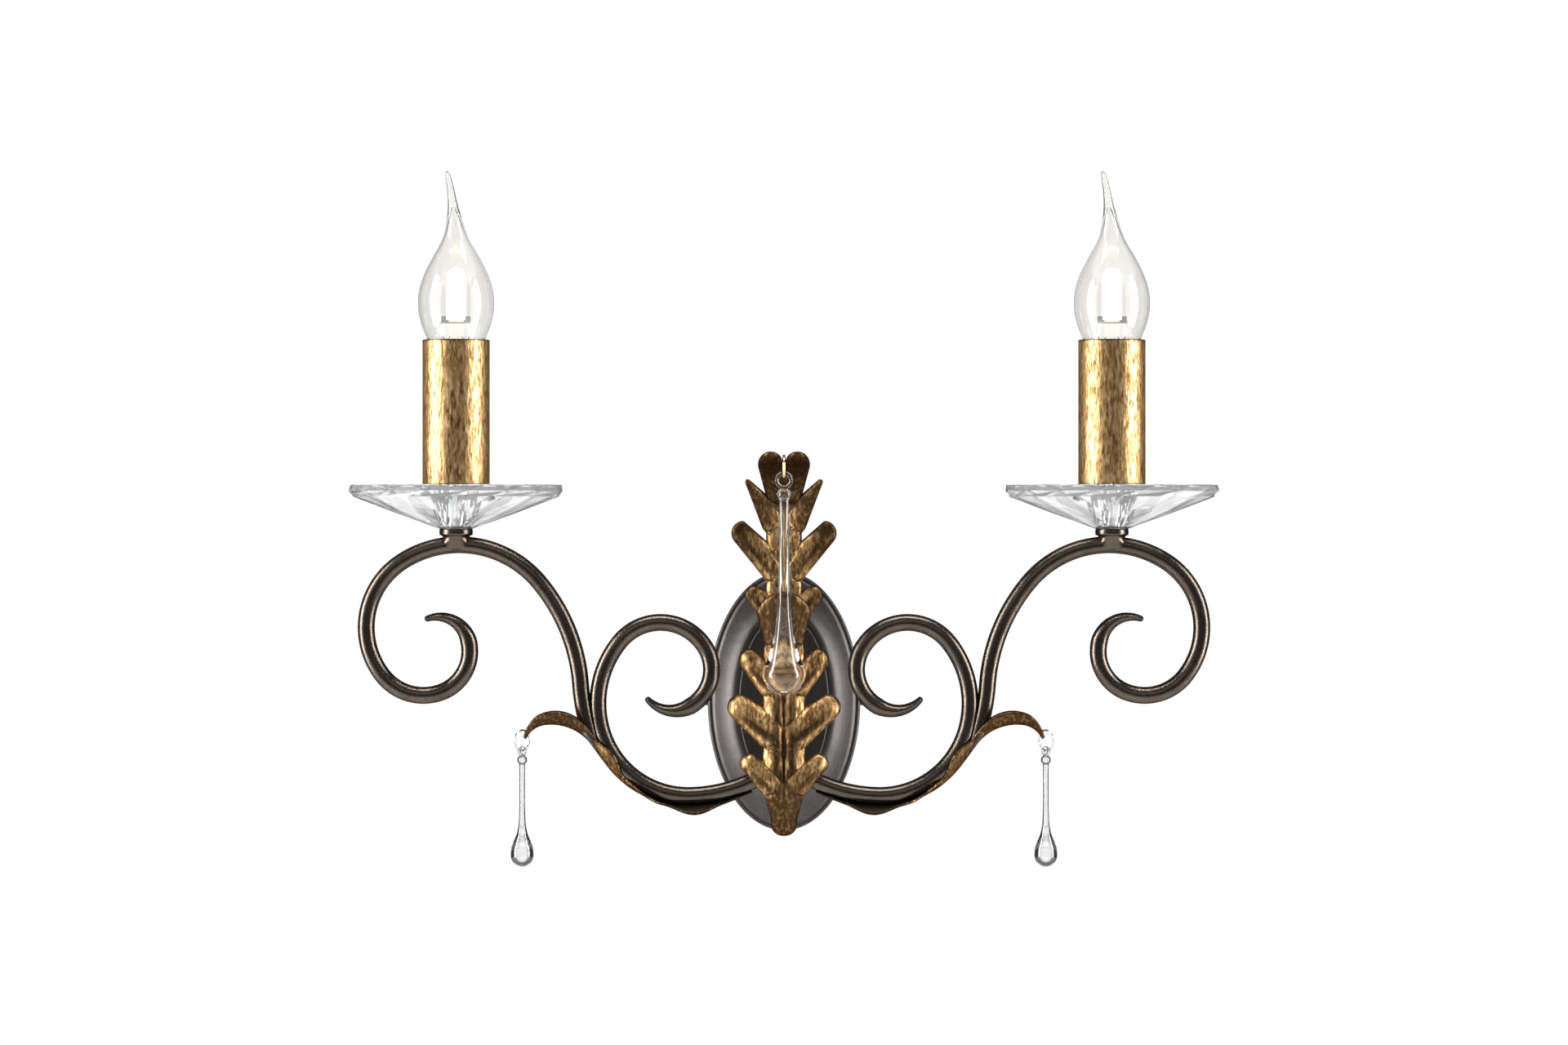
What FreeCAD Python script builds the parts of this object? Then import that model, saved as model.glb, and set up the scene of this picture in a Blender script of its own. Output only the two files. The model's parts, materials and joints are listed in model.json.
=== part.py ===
import FreeCAD, Part
import Sketcher
import math
import os

# Two-arm candle wall lamp: an oval wall plate, a hub that carries two scrolled arms, two oak-like
# leaves on the hub, a long leaf under each arm, and glass pans, sleeves, bulbs and hanging drops.
# Frame: +Z up, +X to the right seen from the front, +Y into the wall. The wall is the plane y = 0
# and the origin is the middle of the plate's back. Lengths are millimetres.

V = FreeCAD.Vector
SIDES = (("left", -1), ("right", 1))

# Driving dimensions: alias, value, meaning.
SIZES = [
    ("arm_out", 75, "wall to the plane of the arms"),
    ("fit_gap", 0.05, "clearance of screwed and plugged joints"),
    ("loose_gap", 0.3, "clearance between pieces that move or are only brazed at points"),
    ("overrun", 1, "how far a cutting body runs past the face that it opens"),
    # wall plate
    ("plate_half_width", 36.7, "half width of the oval plate"),
    ("plate_half_height", 62.3, "half height of the oval plate"),
    ("plate_wall", 1.2, "sheet thickness of the plate"),
    ("plate_skirt", 8, "depth of the straight skirt"),
    ("plate_edge", 0.8, "bevel at the skirt's front edge"),
    ("plate_rim", 2.3, "width of the flat rim inside the skirt"),
    ("plate_step", 0.9, "height of the step from the rim to the body"),
    ("plate_depth", 22, "wall to the flat oval in the middle"),
    ("boss_half_width", 21.2, "half width of the flat oval"),
    ("boss_half_height", 41.5, "half height of the flat oval"),
    # wall bracket
    ("strap_half_length", 34.9, "half length of the bracket, over its ears"),
    ("strap_height", 12, "height of the bracket's strip"),
    ("strap_thick", 2, "thickness of the bracket's strip"),
    ("ear_length", 6.4, "wall to the ends of the bracket's ears"),
    ("slot_offset", 18, "middle of the plate to the middle of each wall screw slot"),
    ("slot_width", 4.5, "width of a wall screw slot"),
    ("slot_length", 9, "length of a wall screw slot, end to end"),
    ("side_screw_out", 4.2, "wall to the axis of the two side screws"),
    ("side_screw_r", 1.45, "side screw shank radius"),
    ("side_screw_length", 6, "side screw shank length"),
    ("side_screw_head_r", 2.1, "side screw head radius"),
    ("side_screw_head", 2.2, "side screw head height"),
    ("earth_x", 26.2, "middle of the plate to the earth screw"),
    ("earth_r", 1.6, "earth screw shank radius"),
    ("earth_head_r", 2.6, "earth screw head radius"),
    ("earth_head", 2.2, "earth screw head height"),
    # terminal block
    ("block_half_width", 12, "half width of the terminal block"),
    ("block_height", 10, "height of the terminal block"),
    ("block_depth", 9, "depth of the terminal block"),
    ("pole_pitch", 7.5, "distance between the block's poles"),
    ("pole_hole_r", 1.9, "radius of a pole's screw well"),
    ("pole_hole_depth", 5, "depth of a pole's screw well"),
    ("pole_screw_r", 1.6, "radius of a pole's screw"),
    ("pole_screw_length", 4, "length of a pole's screw"),
    ("core_r", 0.9, "radius of an insulated core"),
    ("core_bend", 5, "bend radius of a core"),
    ("core_spread", 1.7, "axis of the hub to a core inside it"),
    # hub
    ("hub_drop", 28, "height of the hub's axis below the plate's middle"),
    ("hub_flange_r", 10, "radius of the hub's flange on the plate"),
    ("hub_flange", 2.5, "thickness of the hub's flange"),
    ("hub_stem_r", 6, "radius of the hub's stem"),
    ("hub_boss_r", 9.5, "radius of the boss that takes the arms"),
    ("hub_boss_back", 66, "wall to the back of the boss"),
    ("hub_boss_front", 78.78, "wall to the front of the boss"),
    ("hub_edge", 1.2, "bevel on the boss and the flange"),
    ("hub_bore_depth", 12, "depth of the tapped bore in the hub's back"),
    ("nipple_r", 5, "radius of the hub's threaded tube"),
    ("nipple_bore_r", 3.4, "bore radius of the hub's threaded tube"),
    ("nipple_tail", 6.8, "length of the threaded tube behind the plate"),
    ("nut_flats", 14, "nut width across its flats"),
    ("nut_height", 5, "nut height"),
    # scroll tubes
    ("tube_r", 3.95, "radius of the arm tubes"),
    ("flat_half_thick", 1.4, "half thickness of a hammered scroll end, in the arms' plane"),
    ("flat_half_wide", 4.9, "half width of a hammered scroll end, across the arms' plane"),
    ("inner_start_x", 7.8, "start of the inner scroll's centre line, from the middle"),
    ("inner_start_z", -30.6, "height of that start"),
    ("inner_r_one", 71.3, "inner scroll, run under the arm"),
    ("inner_r_two", 41.9, "inner scroll, lower outside turn"),
    ("inner_r_three", 45.7, "inner scroll, upper outside turn"),
    ("inner_r_four", 24.5, "inner scroll, top turn"),
    ("inner_r_five", 19.7, "inner scroll, turn beside the plate"),
    ("inner_r_six", 15.9, "inner scroll, hammered end"),
    ("outer_start_x", 86.4, "start of the outer scroll's centre line, from the middle"),
    ("outer_start_z", -22.5, "height of that start"),
    ("outer_r_one", 100, "outer scroll, run up from the weld"),
    ("outer_r_two", 84, "outer scroll, lower part of the rise"),
    ("outer_r_three", 48.7, "outer scroll, turn under the pan"),
    ("outer_r_four", 36.5, "outer scroll, outside turn"),
    ("outer_r_five", 24, "outer scroll, bottom turn"),
    ("outer_r_six", 20.3, "outer scroll, rise inside"),
    ("outer_r_seven", 14.6, "outer scroll, hammered end"),
    # candle stack, heights above the plate's middle
    ("candle_x", 152.7, "middle of the lamp to a candle's axis"),
    ("pan_z", 83, "height of the pan's underside, on its collar"),
    ("collar_r", 7.75, "radius of the collar"),
    ("collar_rim", 3, "height of the collar's rim"),
    ("collar_neck_r", 6.8, "radius of the collar's neck"),
    ("collar_root_r", 11, "reach of the collar's root along the tube"),
    ("collar_mouth_r", 5.8, "radius where the flared root ends inside the neck"),
    ("collar_root_z", 75, "height of the collar's root"),
    ("stud_r", 4, "radius of the threaded tube through the pan"),
    ("stud_bore_r", 2.6, "bore radius of that tube"),
    ("stud_sunk", 2.2, "length of that tube in the collar"),
    ("stud_top", 28, "length of that tube above the collar"),
    ("pan_r", 50, "radius of the pan over its corners"),
    ("pan_height", 20.5, "height of the pan"),
    ("pan_floor", 2.6, "thickness of the glass in the pan's middle"),
    ("spacer_top_r", 12, "radius of the fluted spacer's top"),
    ("spacer_foot_r", 7.6, "radius of the fluted spacer's foot"),
    ("seat_r", 15.9, "radius of the thin seat under the sleeve"),
    ("seat_thick", 1, "thickness of that seat"),
    ("sleeve_r", 15.6, "outer radius of the candle sleeve"),
    ("sleeve_wall", 1, "wall of the candle sleeve"),
    ("sleeve_above", 21, "top of the candle sleeve above the lamp holder's top"),
    ("holder_r", 11.5, "radius of the lamp holder"),
    ("holder_height", 46.5, "height of the lamp holder"),
    ("holder_bore_r", 9.1, "bore radius of the lamp holder"),
    ("holder_floor", 12.5, "height of the holder's inner floor above its foot"),
    ("socket_wall", 0.8, "wall of the brass screw shell"),
    ("socket_height", 21, "height of the brass screw shell"),
    ("socket_lip", 0.8, "height of the shell's lip"),
    ("spring_r", 1.2, "radius of the centre contact's post"),
    ("spring_head_r", 3.2, "radius of the centre contact's head"),
    ("spring_head", 1, "thickness of that head"),
    # bulb
    ("cap_sunk", 21.8, "holder's top down to the lowest point of the bulb"),
    ("cap_r", 6.95, "radius of the bulb's screw cap"),
    ("cap_wall", 0.45, "wall of the bulb's screw cap"),
    ("cap_height", 24.3, "height of the cap with its contact"),
    ("cap_contact_r", 2.7, "radius of the cap's contact"),
    ("cap_contact", 1.4, "height of the cap's contact"),
    ("cap_cone", 3.4, "height of the cap's lower cone"),
    ("bulb_sunk", 1.5, "holder's top down to the lower end of the glass"),
    ("bulb_r", 17.6, "largest radius of the glass"),
    ("bulb_height", 101, "height of the glass"),
    ("bulb_wall", 0.8, "wall of the glass"),
    ("stem_r", 4.8, "radius of the inner glass mount's flare"),
    ("stem_height", 22, "height of the inner glass mount"),
    ("capsule_r", 4.6, "radius of the inner capsule"),
    ("capsule_height", 24, "height of the inner capsule"),
    ("lead_r", 0.4, "radius of the lead wires"),
    ("clip_size", 3.2, "size of the clips that hold the capsule"),
    # leaves
    ("leaf_thick", 0.9, "sheet thickness of the leaves"),
    ("lower_leaf_half", 25.6, "half width of the lower leaf"),
    ("lower_leaf_foot", -59.9, "height of the lower leaf's tail"),
    ("lower_leaf_length", 112.8, "height of the lower leaf"),
    ("lower_leaf_out", 75, "wall to the lower leaf's waist"),
    ("lower_leaf_reach", 10, "depth of the lower leaf's sweep"),
    ("lower_leaf_crease", 1.7, "depth of the lower leaf's crease"),
    ("upper_leaf_half", 23.7, "half width of the upper leaf"),
    ("upper_leaf_foot", -18.45, "height of the upper leaf's foot"),
    ("upper_leaf_length", 136.3, "height of the upper leaf"),
    ("upper_leaf_out", 54, "wall to the upper leaf's hollow back"),
    ("upper_leaf_reach", 36.5, "how far the upper leaf's tip comes forward"),
    ("upper_leaf_crease", 1.2, "depth of the upper leaf's crease"),
    ("leaf_hole_r", 1.6, "radius of the hole for the centre hook"),
    ("arm_leaf_gap", 0.35, "arm tube to the leaf under it"),
    ("arm_leaf_run", 13, "straight run of the arm leaf where it leaves the tube"),
    ("arm_leaf_bend", 24, "radius of the arm leaf's free arch"),
    ("arm_leaf_tip_bend", 12, "radius of the arm leaf's drooping tip"),
    ("arm_leaf_half", 3.4, "half width of the arm leaf between its lobes"),
    ("arm_leaf_lobe", 5.2, "what a lobe adds to that half width"),
    ("arm_leaf_hole_r", 1.45, "radius of the hole in the arm leaf's tip"),
    ("arm_leaf_hole_in", 3.1, "that hole's distance from the leaf's tip"),
    # hook, rings and drops
    ("hook_r", 4.95, "radius of the centre hook's ring, to the wire's middle"),
    ("hook_wire_r", 0.65, "radius of the hook's wire"),
    ("hook_z", 111.8, "height of the hook ring's middle"),
    ("hook_forward", 0.8, "leaf tip to the hook ring's middle, towards the front"),
    ("drop_eye_r", 3.3, "radius of the centre drop's eye, to the glass's middle"),
    ("drop_eye_wire", 0.9, "radius of the glass of that eye"),
    ("drop_length", 103.7, "length of the centre drop"),
    ("drop_ball_r", 10.1, "radius of the centre drop's ball"),
    ("ring_r", 4.8, "radius of a side ring, to the wire's middle"),
    ("ring_wire_r", 0.45, "radius of a side ring's wire"),
    ("ring_turn", 50, "turn of a side ring's plane out of the arms' plane, degrees"),
    ("side_eye_r", 1.7, "radius of a side drop's eye, to the glass's middle"),
    ("side_eye_wire", 0.7, "radius of the glass of that eye"),
    ("side_drop_length", 56, "length of a side drop"),
    ("side_ball_r", 5.3, "radius of a side drop's ball"),
]

# Turns of the scrolls in degrees, one per arc, positive to the left of the run.
INNER_HEADING = -31.6
INNER_TURNS = (30.5, 75.7, 53.9, 109.2, 93.1, 77.0)
OUTER_HEADING = 66
OUTER_TURNS = (19.7, -35.4, -83.6, -94.5, -73.1, -84.1, -94.9)
ARM_LEAF_SKIP = 8
ARM_LEAF_LEAVES_AT = 53
ARM_LEAF_ARCH_TURN = -60
ARM_LEAF_TIP_TURN = -60

# Plate body: share of the way in to the flat oval, share of the rise to it.
COVE_SHARES = ((0, 0), (0.3, 0.13), (0.55, 0.27), (0.76, 0.45), (0.9, 0.7), (1, 1))

# Leaf lobes as two rounded ends each: across as a share of the half width, up as a share of the
# length from the foot, and the end's radius as a share of the half width.
LOWER_LOBE_SHARES = (
    ((0.23, 0.22, 0.23), (0.63, 0.30, 0.145)),
    ((0.19, 0.425, 0.30), (0.805, 0.53, 0.195)),
    ((0.235, 0.625, 0.225), (0.62, 0.725, 0.17)),
    ((0, 0.77, 0.33), (0, 0.8902, 0.484)),
    ((0, 0.22, 0.45), (0, 0.048, 0.21)),
    ((0, 0.265, 0.35), (0, 0.755, 0.345)),
)
UPPER_LOBE_SHARES = (
    ((0.105, 0.86, 0.21), (0.26, 0.963, 0.213)),
    ((0, 0.86, 0.295), (0, 0.942, 0.22)),
    ((0.21, 0.78, 0.275), (0.713, 0.9055, 0.02)),
    ((0.173, 0.597, 0.22), (0.793, 0.729, 0.213)),
    ((0.143, 0.452, 0.21), (0.578, 0.5135, 0.16)),
    ((0, 0.464, 0.317), (0, 0.86, 0.316)),
    ((0, 0.038, 0.22), (0, 0.464, 0.3165)),
)
# Side view of each leaf: height as a share of the length, way forward as a share of the reach.
LOWER_SWEEP_SHARES = (
    (-0.02, -1.05), (0.088, -0.2), (0.176, 0.35), (0.238, 0.55), (0.354, 0.5), (0.487, 0.25),
    (0.62, 0), (0.708, -0.1), (0.779, -0.05), (0.868, 0.25), (0.948, 0.65), (1.02, 1.1),
)
UPPER_SWEEP_SHARES = (
    (-0.015, 0.49), (0.097, 0.384), (0.2436, 0.19), (0.39, 0.07), (0.544, 0), (0.684, 0.014),
    (0.794, 0.11), (0.867, 0.274), (0.9186, 0.493), (0.9553, 0.753), (0.98, 1), (1.008, 1.25),
)
# Cross section of each leaf: across as a share of the half width, back as a share of the crease.
LOWER_SECTION_SHARES = ((0, 0.6), (0.14, -0.4), (0.3, 0.1), (0.6, 0.7), (1.08, 1.9))
UPPER_SECTION_SHARES = ((0, 0.7), (0.16, -0.2), (0.35, 0), (0.65, -0.6), (1.08, -2.4))

# Arm leaf lobes: middle and half length as shares of the leaf's length.
ARM_LOBE_SHARES = ((0.22, 0.12), (0.42, 0.11), (0.61, 0.11), (0.85, 0.19))
# Lift of the arm leaf's edges: share of the length, angle in degrees, up is positive.
ARM_LIFT_SHARES = ((0, 12), (0.22, -25), (0.42, 5), (0.6, 35), (0.85, 38), (1, 30))
# Foot and tip of the arm leaf: share of the width there, and how fast it grows with the share of the length.
ARM_LEAF_END_SHARES = ((0.45, 8), (0.3, 9))

# Bulb glass: height as a share of the glass's height, radius as a share of the largest radius.
BULB_SHARES = (
    (0, 0.34), (0.04, 0.352), (0.12, 0.56), (0.235, 0.785), (0.305, 0.93), (0.365, 0.995),
    (0.41, 1), (0.465, 0.965), (0.525, 0.89), (0.585, 0.77), (0.645, 0.61), (0.695, 0.44),
    (0.745, 0.29), (0.81, 0.18), (0.87, 0.13), (0.96, 0.115), (1, 0.06),
)
# Lean of the flame tip: height share, sideways share of the largest radius.
BULB_LEAN_SHARES = ((0, 0), (0.5, 0), (0.645, -0.06), (0.745, -0.14), (0.87, -0.2), (1, -0.19))

# Drops: height below the eye as a share of the length, radius as a share of the ball's radius.
DROP_SHARES = (
    (0, 0.2), (0.012, 0.33), (0.04, 0.365), (0.066, 0.31), (0.08, 0.265), (0.3, 0.275),
    (0.56, 0.33), (0.66, 0.44), (0.75, 0.62), (0.81, 0.84), (0.86, 0.97),
)
SIDE_DROP_SHARES = (
    (0, 0.25), (0.02, 0.42), (0.05, 0.42), (0.08, 0.25), (0.4, 0.24), (0.6, 0.3),
    (0.7, 0.47), (0.77, 0.74), (0.83, 0.95),
)

doc = FreeCAD.newDocument("wall_lamp")
sheet = doc.addObject("Spreadsheet::Sheet", "sizes")
for row, (alias, value, meaning) in enumerate(SIZES, start=1):
    sheet.set("A%d" % row, meaning)
    sheet.set("B%d" % row, str(value))
    sheet.setAlias("B%d" % row, alias)
doc.recompute()
PIECES = []


def size(alias):
    """Value of one driving dimension."""
    return float(sheet.get(alias))


def keep(piece, label):
    """Gives a sub-part its label, which is also its file's name."""
    piece.Label = label
    PIECES.append(piece)
    return piece


def formed(label, shape, place=V(0, 0, 0)):
    """Sub-part whose form comes from a curve or a surface that no sketch feature gives."""
    piece = doc.addObject("Part::Feature", label)
    piece.Shape = shape
    piece.Placement = FreeCAD.Placement(place, FreeCAD.Rotation())
    return keep(piece, label)


# Sketched bodies


def new_body(label, x="0", y="0", z="0"):
    """Body whose placement follows three expressions of the sheet."""
    body = doc.addObject("PartDesign::Body", label)
    for letter, expression in (("x", x), ("y", y), ("z", z)):
        if expression != "0":
            body.setExpression("Placement.Base." + letter, expression)
    return keep(body, label)


def sketch_on(body, role, name):
    """Empty sketch on one of the body's own origin planes."""
    sketch = body.newObject("Sketcher::SketchObject", name)
    plane = [f for f in body.Origin.OriginFeatures if f.Role == role][0]
    sketch.AttachmentSupport = [(plane, "")]
    sketch.MapMode = "FlatFace"
    return sketch


def value(expression):
    """Present value of an expression of the sheet."""
    return float(sheet.evalExpression(expression))


def pin_point(sketch, geometry, vertex, x, y):
    """Ties a point of the sketch to two expressions, or to an axis where one is zero."""
    for kind, axis, expression in (("DistanceX", -2, x), ("DistanceY", -1, y)):
        if expression == "0":
            sketch.addConstraint(Sketcher.Constraint("PointOnObject", geometry, vertex, axis))
        else:
            rule = Sketcher.Constraint(kind, -1, 1, geometry, vertex, value(expression))
            index = sketch.addConstraint(rule)
            sketch.setExpression("Constraints[%d]" % index, expression)


def pin_radius(sketch, geometry, radius):
    """Ties the radius of a circle or an arc to an expression."""
    index = sketch.addConstraint(Sketcher.Constraint("Radius", geometry, value(radius)))
    sketch.setExpression("Constraints[%d]" % index, radius)


def draw_outline(sketch, points):
    """Closed outline of straight lines, each corner tied to its two expressions."""
    count = len(points)
    corners = [V(value(x), value(y), 0) for x, y in points]
    lines = []
    for i in range(count):
        line = Part.LineSegment(corners[i], corners[(i + 1) % count])
        lines.append(sketch.addGeometry(line))
    for i in range(count):
        sketch.addConstraint(Sketcher.Constraint("Coincident", lines[i], 2, lines[(i + 1) % count], 1))
    for line, (x, y) in zip(lines, points):
        pin_point(sketch, line, 1, x, y)


def draw_circle(sketch, x, y, radius):
    """Circle tied to expressions for its middle and its radius."""
    circle = sketch.addGeometry(Part.Circle(V(value(x), value(y), 0), V(0, 0, 1), value(radius)))
    pin_point(sketch, circle, 3, x, y)
    pin_radius(sketch, circle, radius)


def turned(label, role, points, x="0", y="0", z="0"):
    """Turned piece: an outline of radius and length spun round the sketch's upright axis."""
    body = new_body(label, x, y, z)
    sketch = sketch_on(body, role, label + "_outline")
    draw_outline(sketch, points)
    spin = body.newObject("PartDesign::Revolution", label + "_spin")
    spin.Profile = sketch
    spin.ReferenceAxis = (sketch, ["V_Axis"])
    spin.Angle = 360
    return body


def padded(body, sketch, name, length, midplane=False):
    """Pad of a sketch by an expression."""
    pad = body.newObject("PartDesign::Pad", name)
    pad.Profile = sketch
    pad.Midplane = midplane
    pad.setExpression("Length", length)
    return pad


def pocketed(body, sketch, name, length=None, midplane=False):
    """Pocket of a sketch, through everything where no length is given."""
    pocket = body.newObject("PartDesign::Pocket", name)
    pocket.Profile = sketch
    pocket.Midplane = midplane
    if length is None:
        pocket.Type = "ThroughAll"
    else:
        pocket.setExpression("Length", length)
    return pocket


# Curved pieces


def arc_chain(x, z, heading, radii, turns, y):
    """Tangent arcs in an upright plane: edges, and the point and heading where each one ends."""
    edges, ends = [], [(x, z, heading)]
    for radius, turn in zip(radii, turns):
        sign = math.copysign(1, turn)
        centre_x = x - sign * radius * math.sin(math.radians(heading))
        centre_z = z + sign * radius * math.cos(math.radians(heading))
        points = []
        for share in (0, 0.5, 1):
            angle = math.radians(heading + turn * share)
            points.append(V(centre_x + sign * radius * math.sin(angle), y,
                            centre_z - sign * radius * math.cos(angle)))
        edges.append(Part.Arc(*points).toShape())
        x, z, heading = points[2].x, points[2].z, heading + turn
        ends.append((x, z, heading))
    return edges, ends


def hammered_tube(edges, last):
    """Round tube along the edges whose last edge goes from round to a flat hammered end."""
    y_axis = V(0, 1, 0)
    radius = size("tube_r")
    first = edges[0]
    start = first.valueAt(first.FirstParameter)
    way = first.tangentAt(first.FirstParameter)
    plain = Part.BRepOffsetAPI.MakePipeShell(Part.Wire(edges[:-1]))
    plain.setBiNormalMode(y_axis)
    plain.add(Part.Wire([Part.Circle(start, way, radius).toShape()]))
    plain.build()
    plain.makeSolid()
    edge = edges[-1]
    begin, end = edge.valueAt(edge.FirstParameter), edge.valueAt(edge.LastParameter)
    end_way = edge.tangentAt(edge.LastParameter)
    across = end_way.cross(y_axis)
    flat = Part.Ellipse(end + y_axis * size("flat_half_wide"), end + across * size("flat_half_thick"), end)
    taper = Part.BRepOffsetAPI.MakePipeShell(Part.Wire([edge]))
    taper.setBiNormalMode(y_axis)
    taper.add(Part.Wire([Part.Circle(begin, edge.tangentAt(edge.FirstParameter), radius).toShape()]))
    taper.add(Part.Wire([flat.toShape()]))
    taper.build()
    taper.makeSolid()
    return plain.shape().fuse(taper.shape()).removeSplitter()


def mirrored(shape, side):
    """The shape itself on the right, its mirror image on the left."""
    return shape if side > 0 else shape.mirror(V(0, 0, 0), V(1, 0, 0))


def round_rod(start, end, radius):
    """Straight round rod between two points."""
    return Part.makeCylinder(radius, (end - start).Length, start, end - start)


def ring(middle, normal, radius, wire_radius):
    """Closed ring of round wire."""
    return Part.makeTorus(radius, wire_radius, middle, normal)


def spun_profile(points, axis_x, axis_y):
    """Smooth turned solid from radius and height pairs, closed at the axis at both ends."""
    curve = Part.BSplineCurve()
    curve.interpolate([V(axis_x + r, axis_y, z) for r, z in points])
    top, foot = V(axis_x, axis_y, points[-1][1]), V(axis_x, axis_y, points[0][1])
    outer_top = V(axis_x + points[-1][0], axis_y, points[-1][1])
    outer_foot = V(axis_x + points[0][0], axis_y, points[0][1])
    edges = [curve.toShape()]
    if outer_top != top:
        edges.append(Part.makeLine(outer_top, top))
    edges.append(Part.makeLine(top, foot))
    if outer_foot != foot:
        edges.append(Part.makeLine(foot, outer_foot))
    face = Part.Face(Part.Wire(Part.__sortEdges__(edges)))
    return face.revolve(foot, V(0, 0, 1), 360)


def faceted(rings, count):
    """Ring-shaped solid of flat triangles: each ring is radius, height, phase and flute depth."""
    loops = []
    for radius, height, phase, flute in rings:
        loop = []
        for i in range(count):
            angle = math.tau * (i + phase) / count
            reach = radius * (1 - flute * (i % 2))
            loop.append(V(reach * math.cos(angle), reach * math.sin(angle), height))
        loops.append(loop)
    faces = []
    for k, near in enumerate(loops):
        far = loops[(k + 1) % len(loops)]
        lag = 1 if rings[k][2] > rings[(k + 1) % len(rings)][2] else 0
        for i in range(count):
            a, b = near[i], near[(i + 1) % count]
            c, d = far[(i + lag) % count], far[(i + lag + 1) % count]
            middle = c if lag else a
            first = (a, b, c) if lag else (a, b, d)
            second = (b, d, c) if lag else (a, d, c)
            for corners in (first, second):
                faces.append(Part.Face(Part.makePolygon(list(corners) + [corners[0]])))
    shell = Part.Shell(faces)
    shell.sewShape()
    solid = Part.Solid(shell)
    if solid.Volume < 0:
        solid.reverse()
    return solid


def rounded_end_pair(first, second, depth_from, depth_to):
    """Prism over two circles and their outer tangents, from one depth to another."""
    (x0, z0, r0), (x1, z1, r1) = first, second
    gap = math.hypot(x1 - x0, z1 - z0)
    lean = math.atan2(z1 - z0, x1 - x0)
    spread = math.acos((r0 - r1) / gap)

    def on(x, z, radius, angle):
        return V(x + radius * math.cos(angle), depth_from, z + radius * math.sin(angle))

    a, b = on(x0, z0, r0, lean + spread), on(x1, z1, r1, lean + spread)
    c, d = on(x1, z1, r1, lean - spread), on(x0, z0, r0, lean - spread)
    wire = Part.Wire([
        Part.makeLine(a, b),
        Part.Arc(b, on(x1, z1, r1, lean), c).toShape(),
        Part.makeLine(c, d),
        Part.Arc(d, on(x0, z0, r0, lean + math.pi), a).toShape(),
    ])
    return Part.Face(wire).extrude(V(0, depth_to - depth_from, 0))


def leaf(half, foot, length, out, reach, crease, lobes, sweep, section):
    """Creased sheet through the swept sections, cut to the outline of its lobes."""
    wires = []
    for up, forward in sweep:
        points = []
        for across, back in [(-a, b) for a, b in reversed(section[1:])] + list(section):
            points.append(V(across * half, crease * back - out - reach * forward, foot + up * length))
        curve = Part.BSplineCurve()
        curve.interpolate(points)
        wires.append(Part.Wire([curve.toShape()]))
    skin = Part.makeLoft(wires, False, False)
    tolerance = size("leaf_thick") * size("fit_gap")
    blank = skin.Faces[0].makeOffsetShape(size("leaf_thick"), tolerance, fill=True)
    prisms = []
    near, far = -out - reach * max(f for u, f in sweep) - half, 0
    for first, second in lobes:
        for side in ((1, -1) if second[0] > 0 else (1,)):
            ends = [(side * x * half, foot + z * length, r * half) for x, z, r in (first, second)]
            prisms.append(rounded_end_pair(ends[0], ends[1], near, far))
    outline = prisms[0].multiFuse(prisms[1:]).removeSplitter()
    return blank.common(outline)


def between(table, share):
    """Value of a table of pairs at a share, eased from pair to pair."""
    for (a, low), (b, high) in zip(table, table[1:]):
        if share <= b:
            t = min(1, max(0, (share - a) / (b - a)))
            return low + (high - low) * t * t * (3 - 2 * t)
    return table[-1][1]


# Wall side


def make_bracket():
    """Steel strip with two bent ears, two wall screw slots, an earth screw hole and tapped ears."""
    body = new_body("wall_bracket")
    length, thick, deep = "sizes.strap_half_length", "sizes.strap_thick", "sizes.ear_length"
    inside = "(%s - %s)" % (length, thick)
    section = sketch_on(body, "XY_Plane", "bracket_section")
    draw_outline(section, [
        ("-" + length, "0"), (length, "0"), (length, "-" + deep), (inside, "-" + deep),
        (inside, "-" + thick), ("-" + inside, "-" + thick), ("-" + inside, "-" + deep),
        ("-" + length, "-" + deep),
    ])
    padded(body, section, "bracket_strip", "sizes.strap_height", midplane=True)
    slots = sketch_on(body, "XZ_Plane", "bracket_slots")
    straight = "(sizes.slot_length - sizes.slot_width) / 2"
    for sign in ("-", ""):
        middle = sign + "sizes.slot_offset"
        draw_slot(slots, middle, straight, "sizes.slot_width / 2")
    draw_circle(slots, "sizes.earth_x", "0", "sizes.earth_r + sizes.fit_gap")
    pocketed(body, slots, "bracket_slots_cut", midplane=True)
    taps = sketch_on(body, "YZ_Plane", "bracket_taps")
    draw_circle(taps, "-sizes.side_screw_out", "0", "sizes.side_screw_r + sizes.fit_gap")
    pocketed(body, taps, "bracket_taps_cut", midplane=True)


def draw_slot(sketch, middle, straight, radius):
    """Slot with round ends, lying along the sketch's first axis."""
    reach = value(radius)
    right_x, left_x = "%s + %s" % (middle, straight), "%s - %s" % (middle, straight)
    quarter, axis = math.pi / 2, V(0, 0, 1)
    east, west = V(value(right_x), 0, 0), V(value(left_x), 0, 0)
    up = V(0, reach, 0)
    right = sketch.addGeometry(Part.ArcOfCircle(Part.Circle(east, axis, reach), -quarter, quarter))
    left = sketch.addGeometry(Part.ArcOfCircle(Part.Circle(west, axis, reach), quarter, 3 * quarter))
    top = sketch.addGeometry(Part.LineSegment(east + up, west + up))
    low = sketch.addGeometry(Part.LineSegment(west - up, east - up))
    for first, second in ((right, top), (top, left), (left, low), (low, right)):
        sketch.addConstraint(Sketcher.Constraint("Tangent", first, 2, second, 1))
    pin_point(sketch, right, 3, right_x, "0")
    pin_point(sketch, left, 3, left_x, "0")
    pin_radius(sketch, right, radius)
    pin_radius(sketch, left, radius)


OVAL_POINTS = 32


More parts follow.
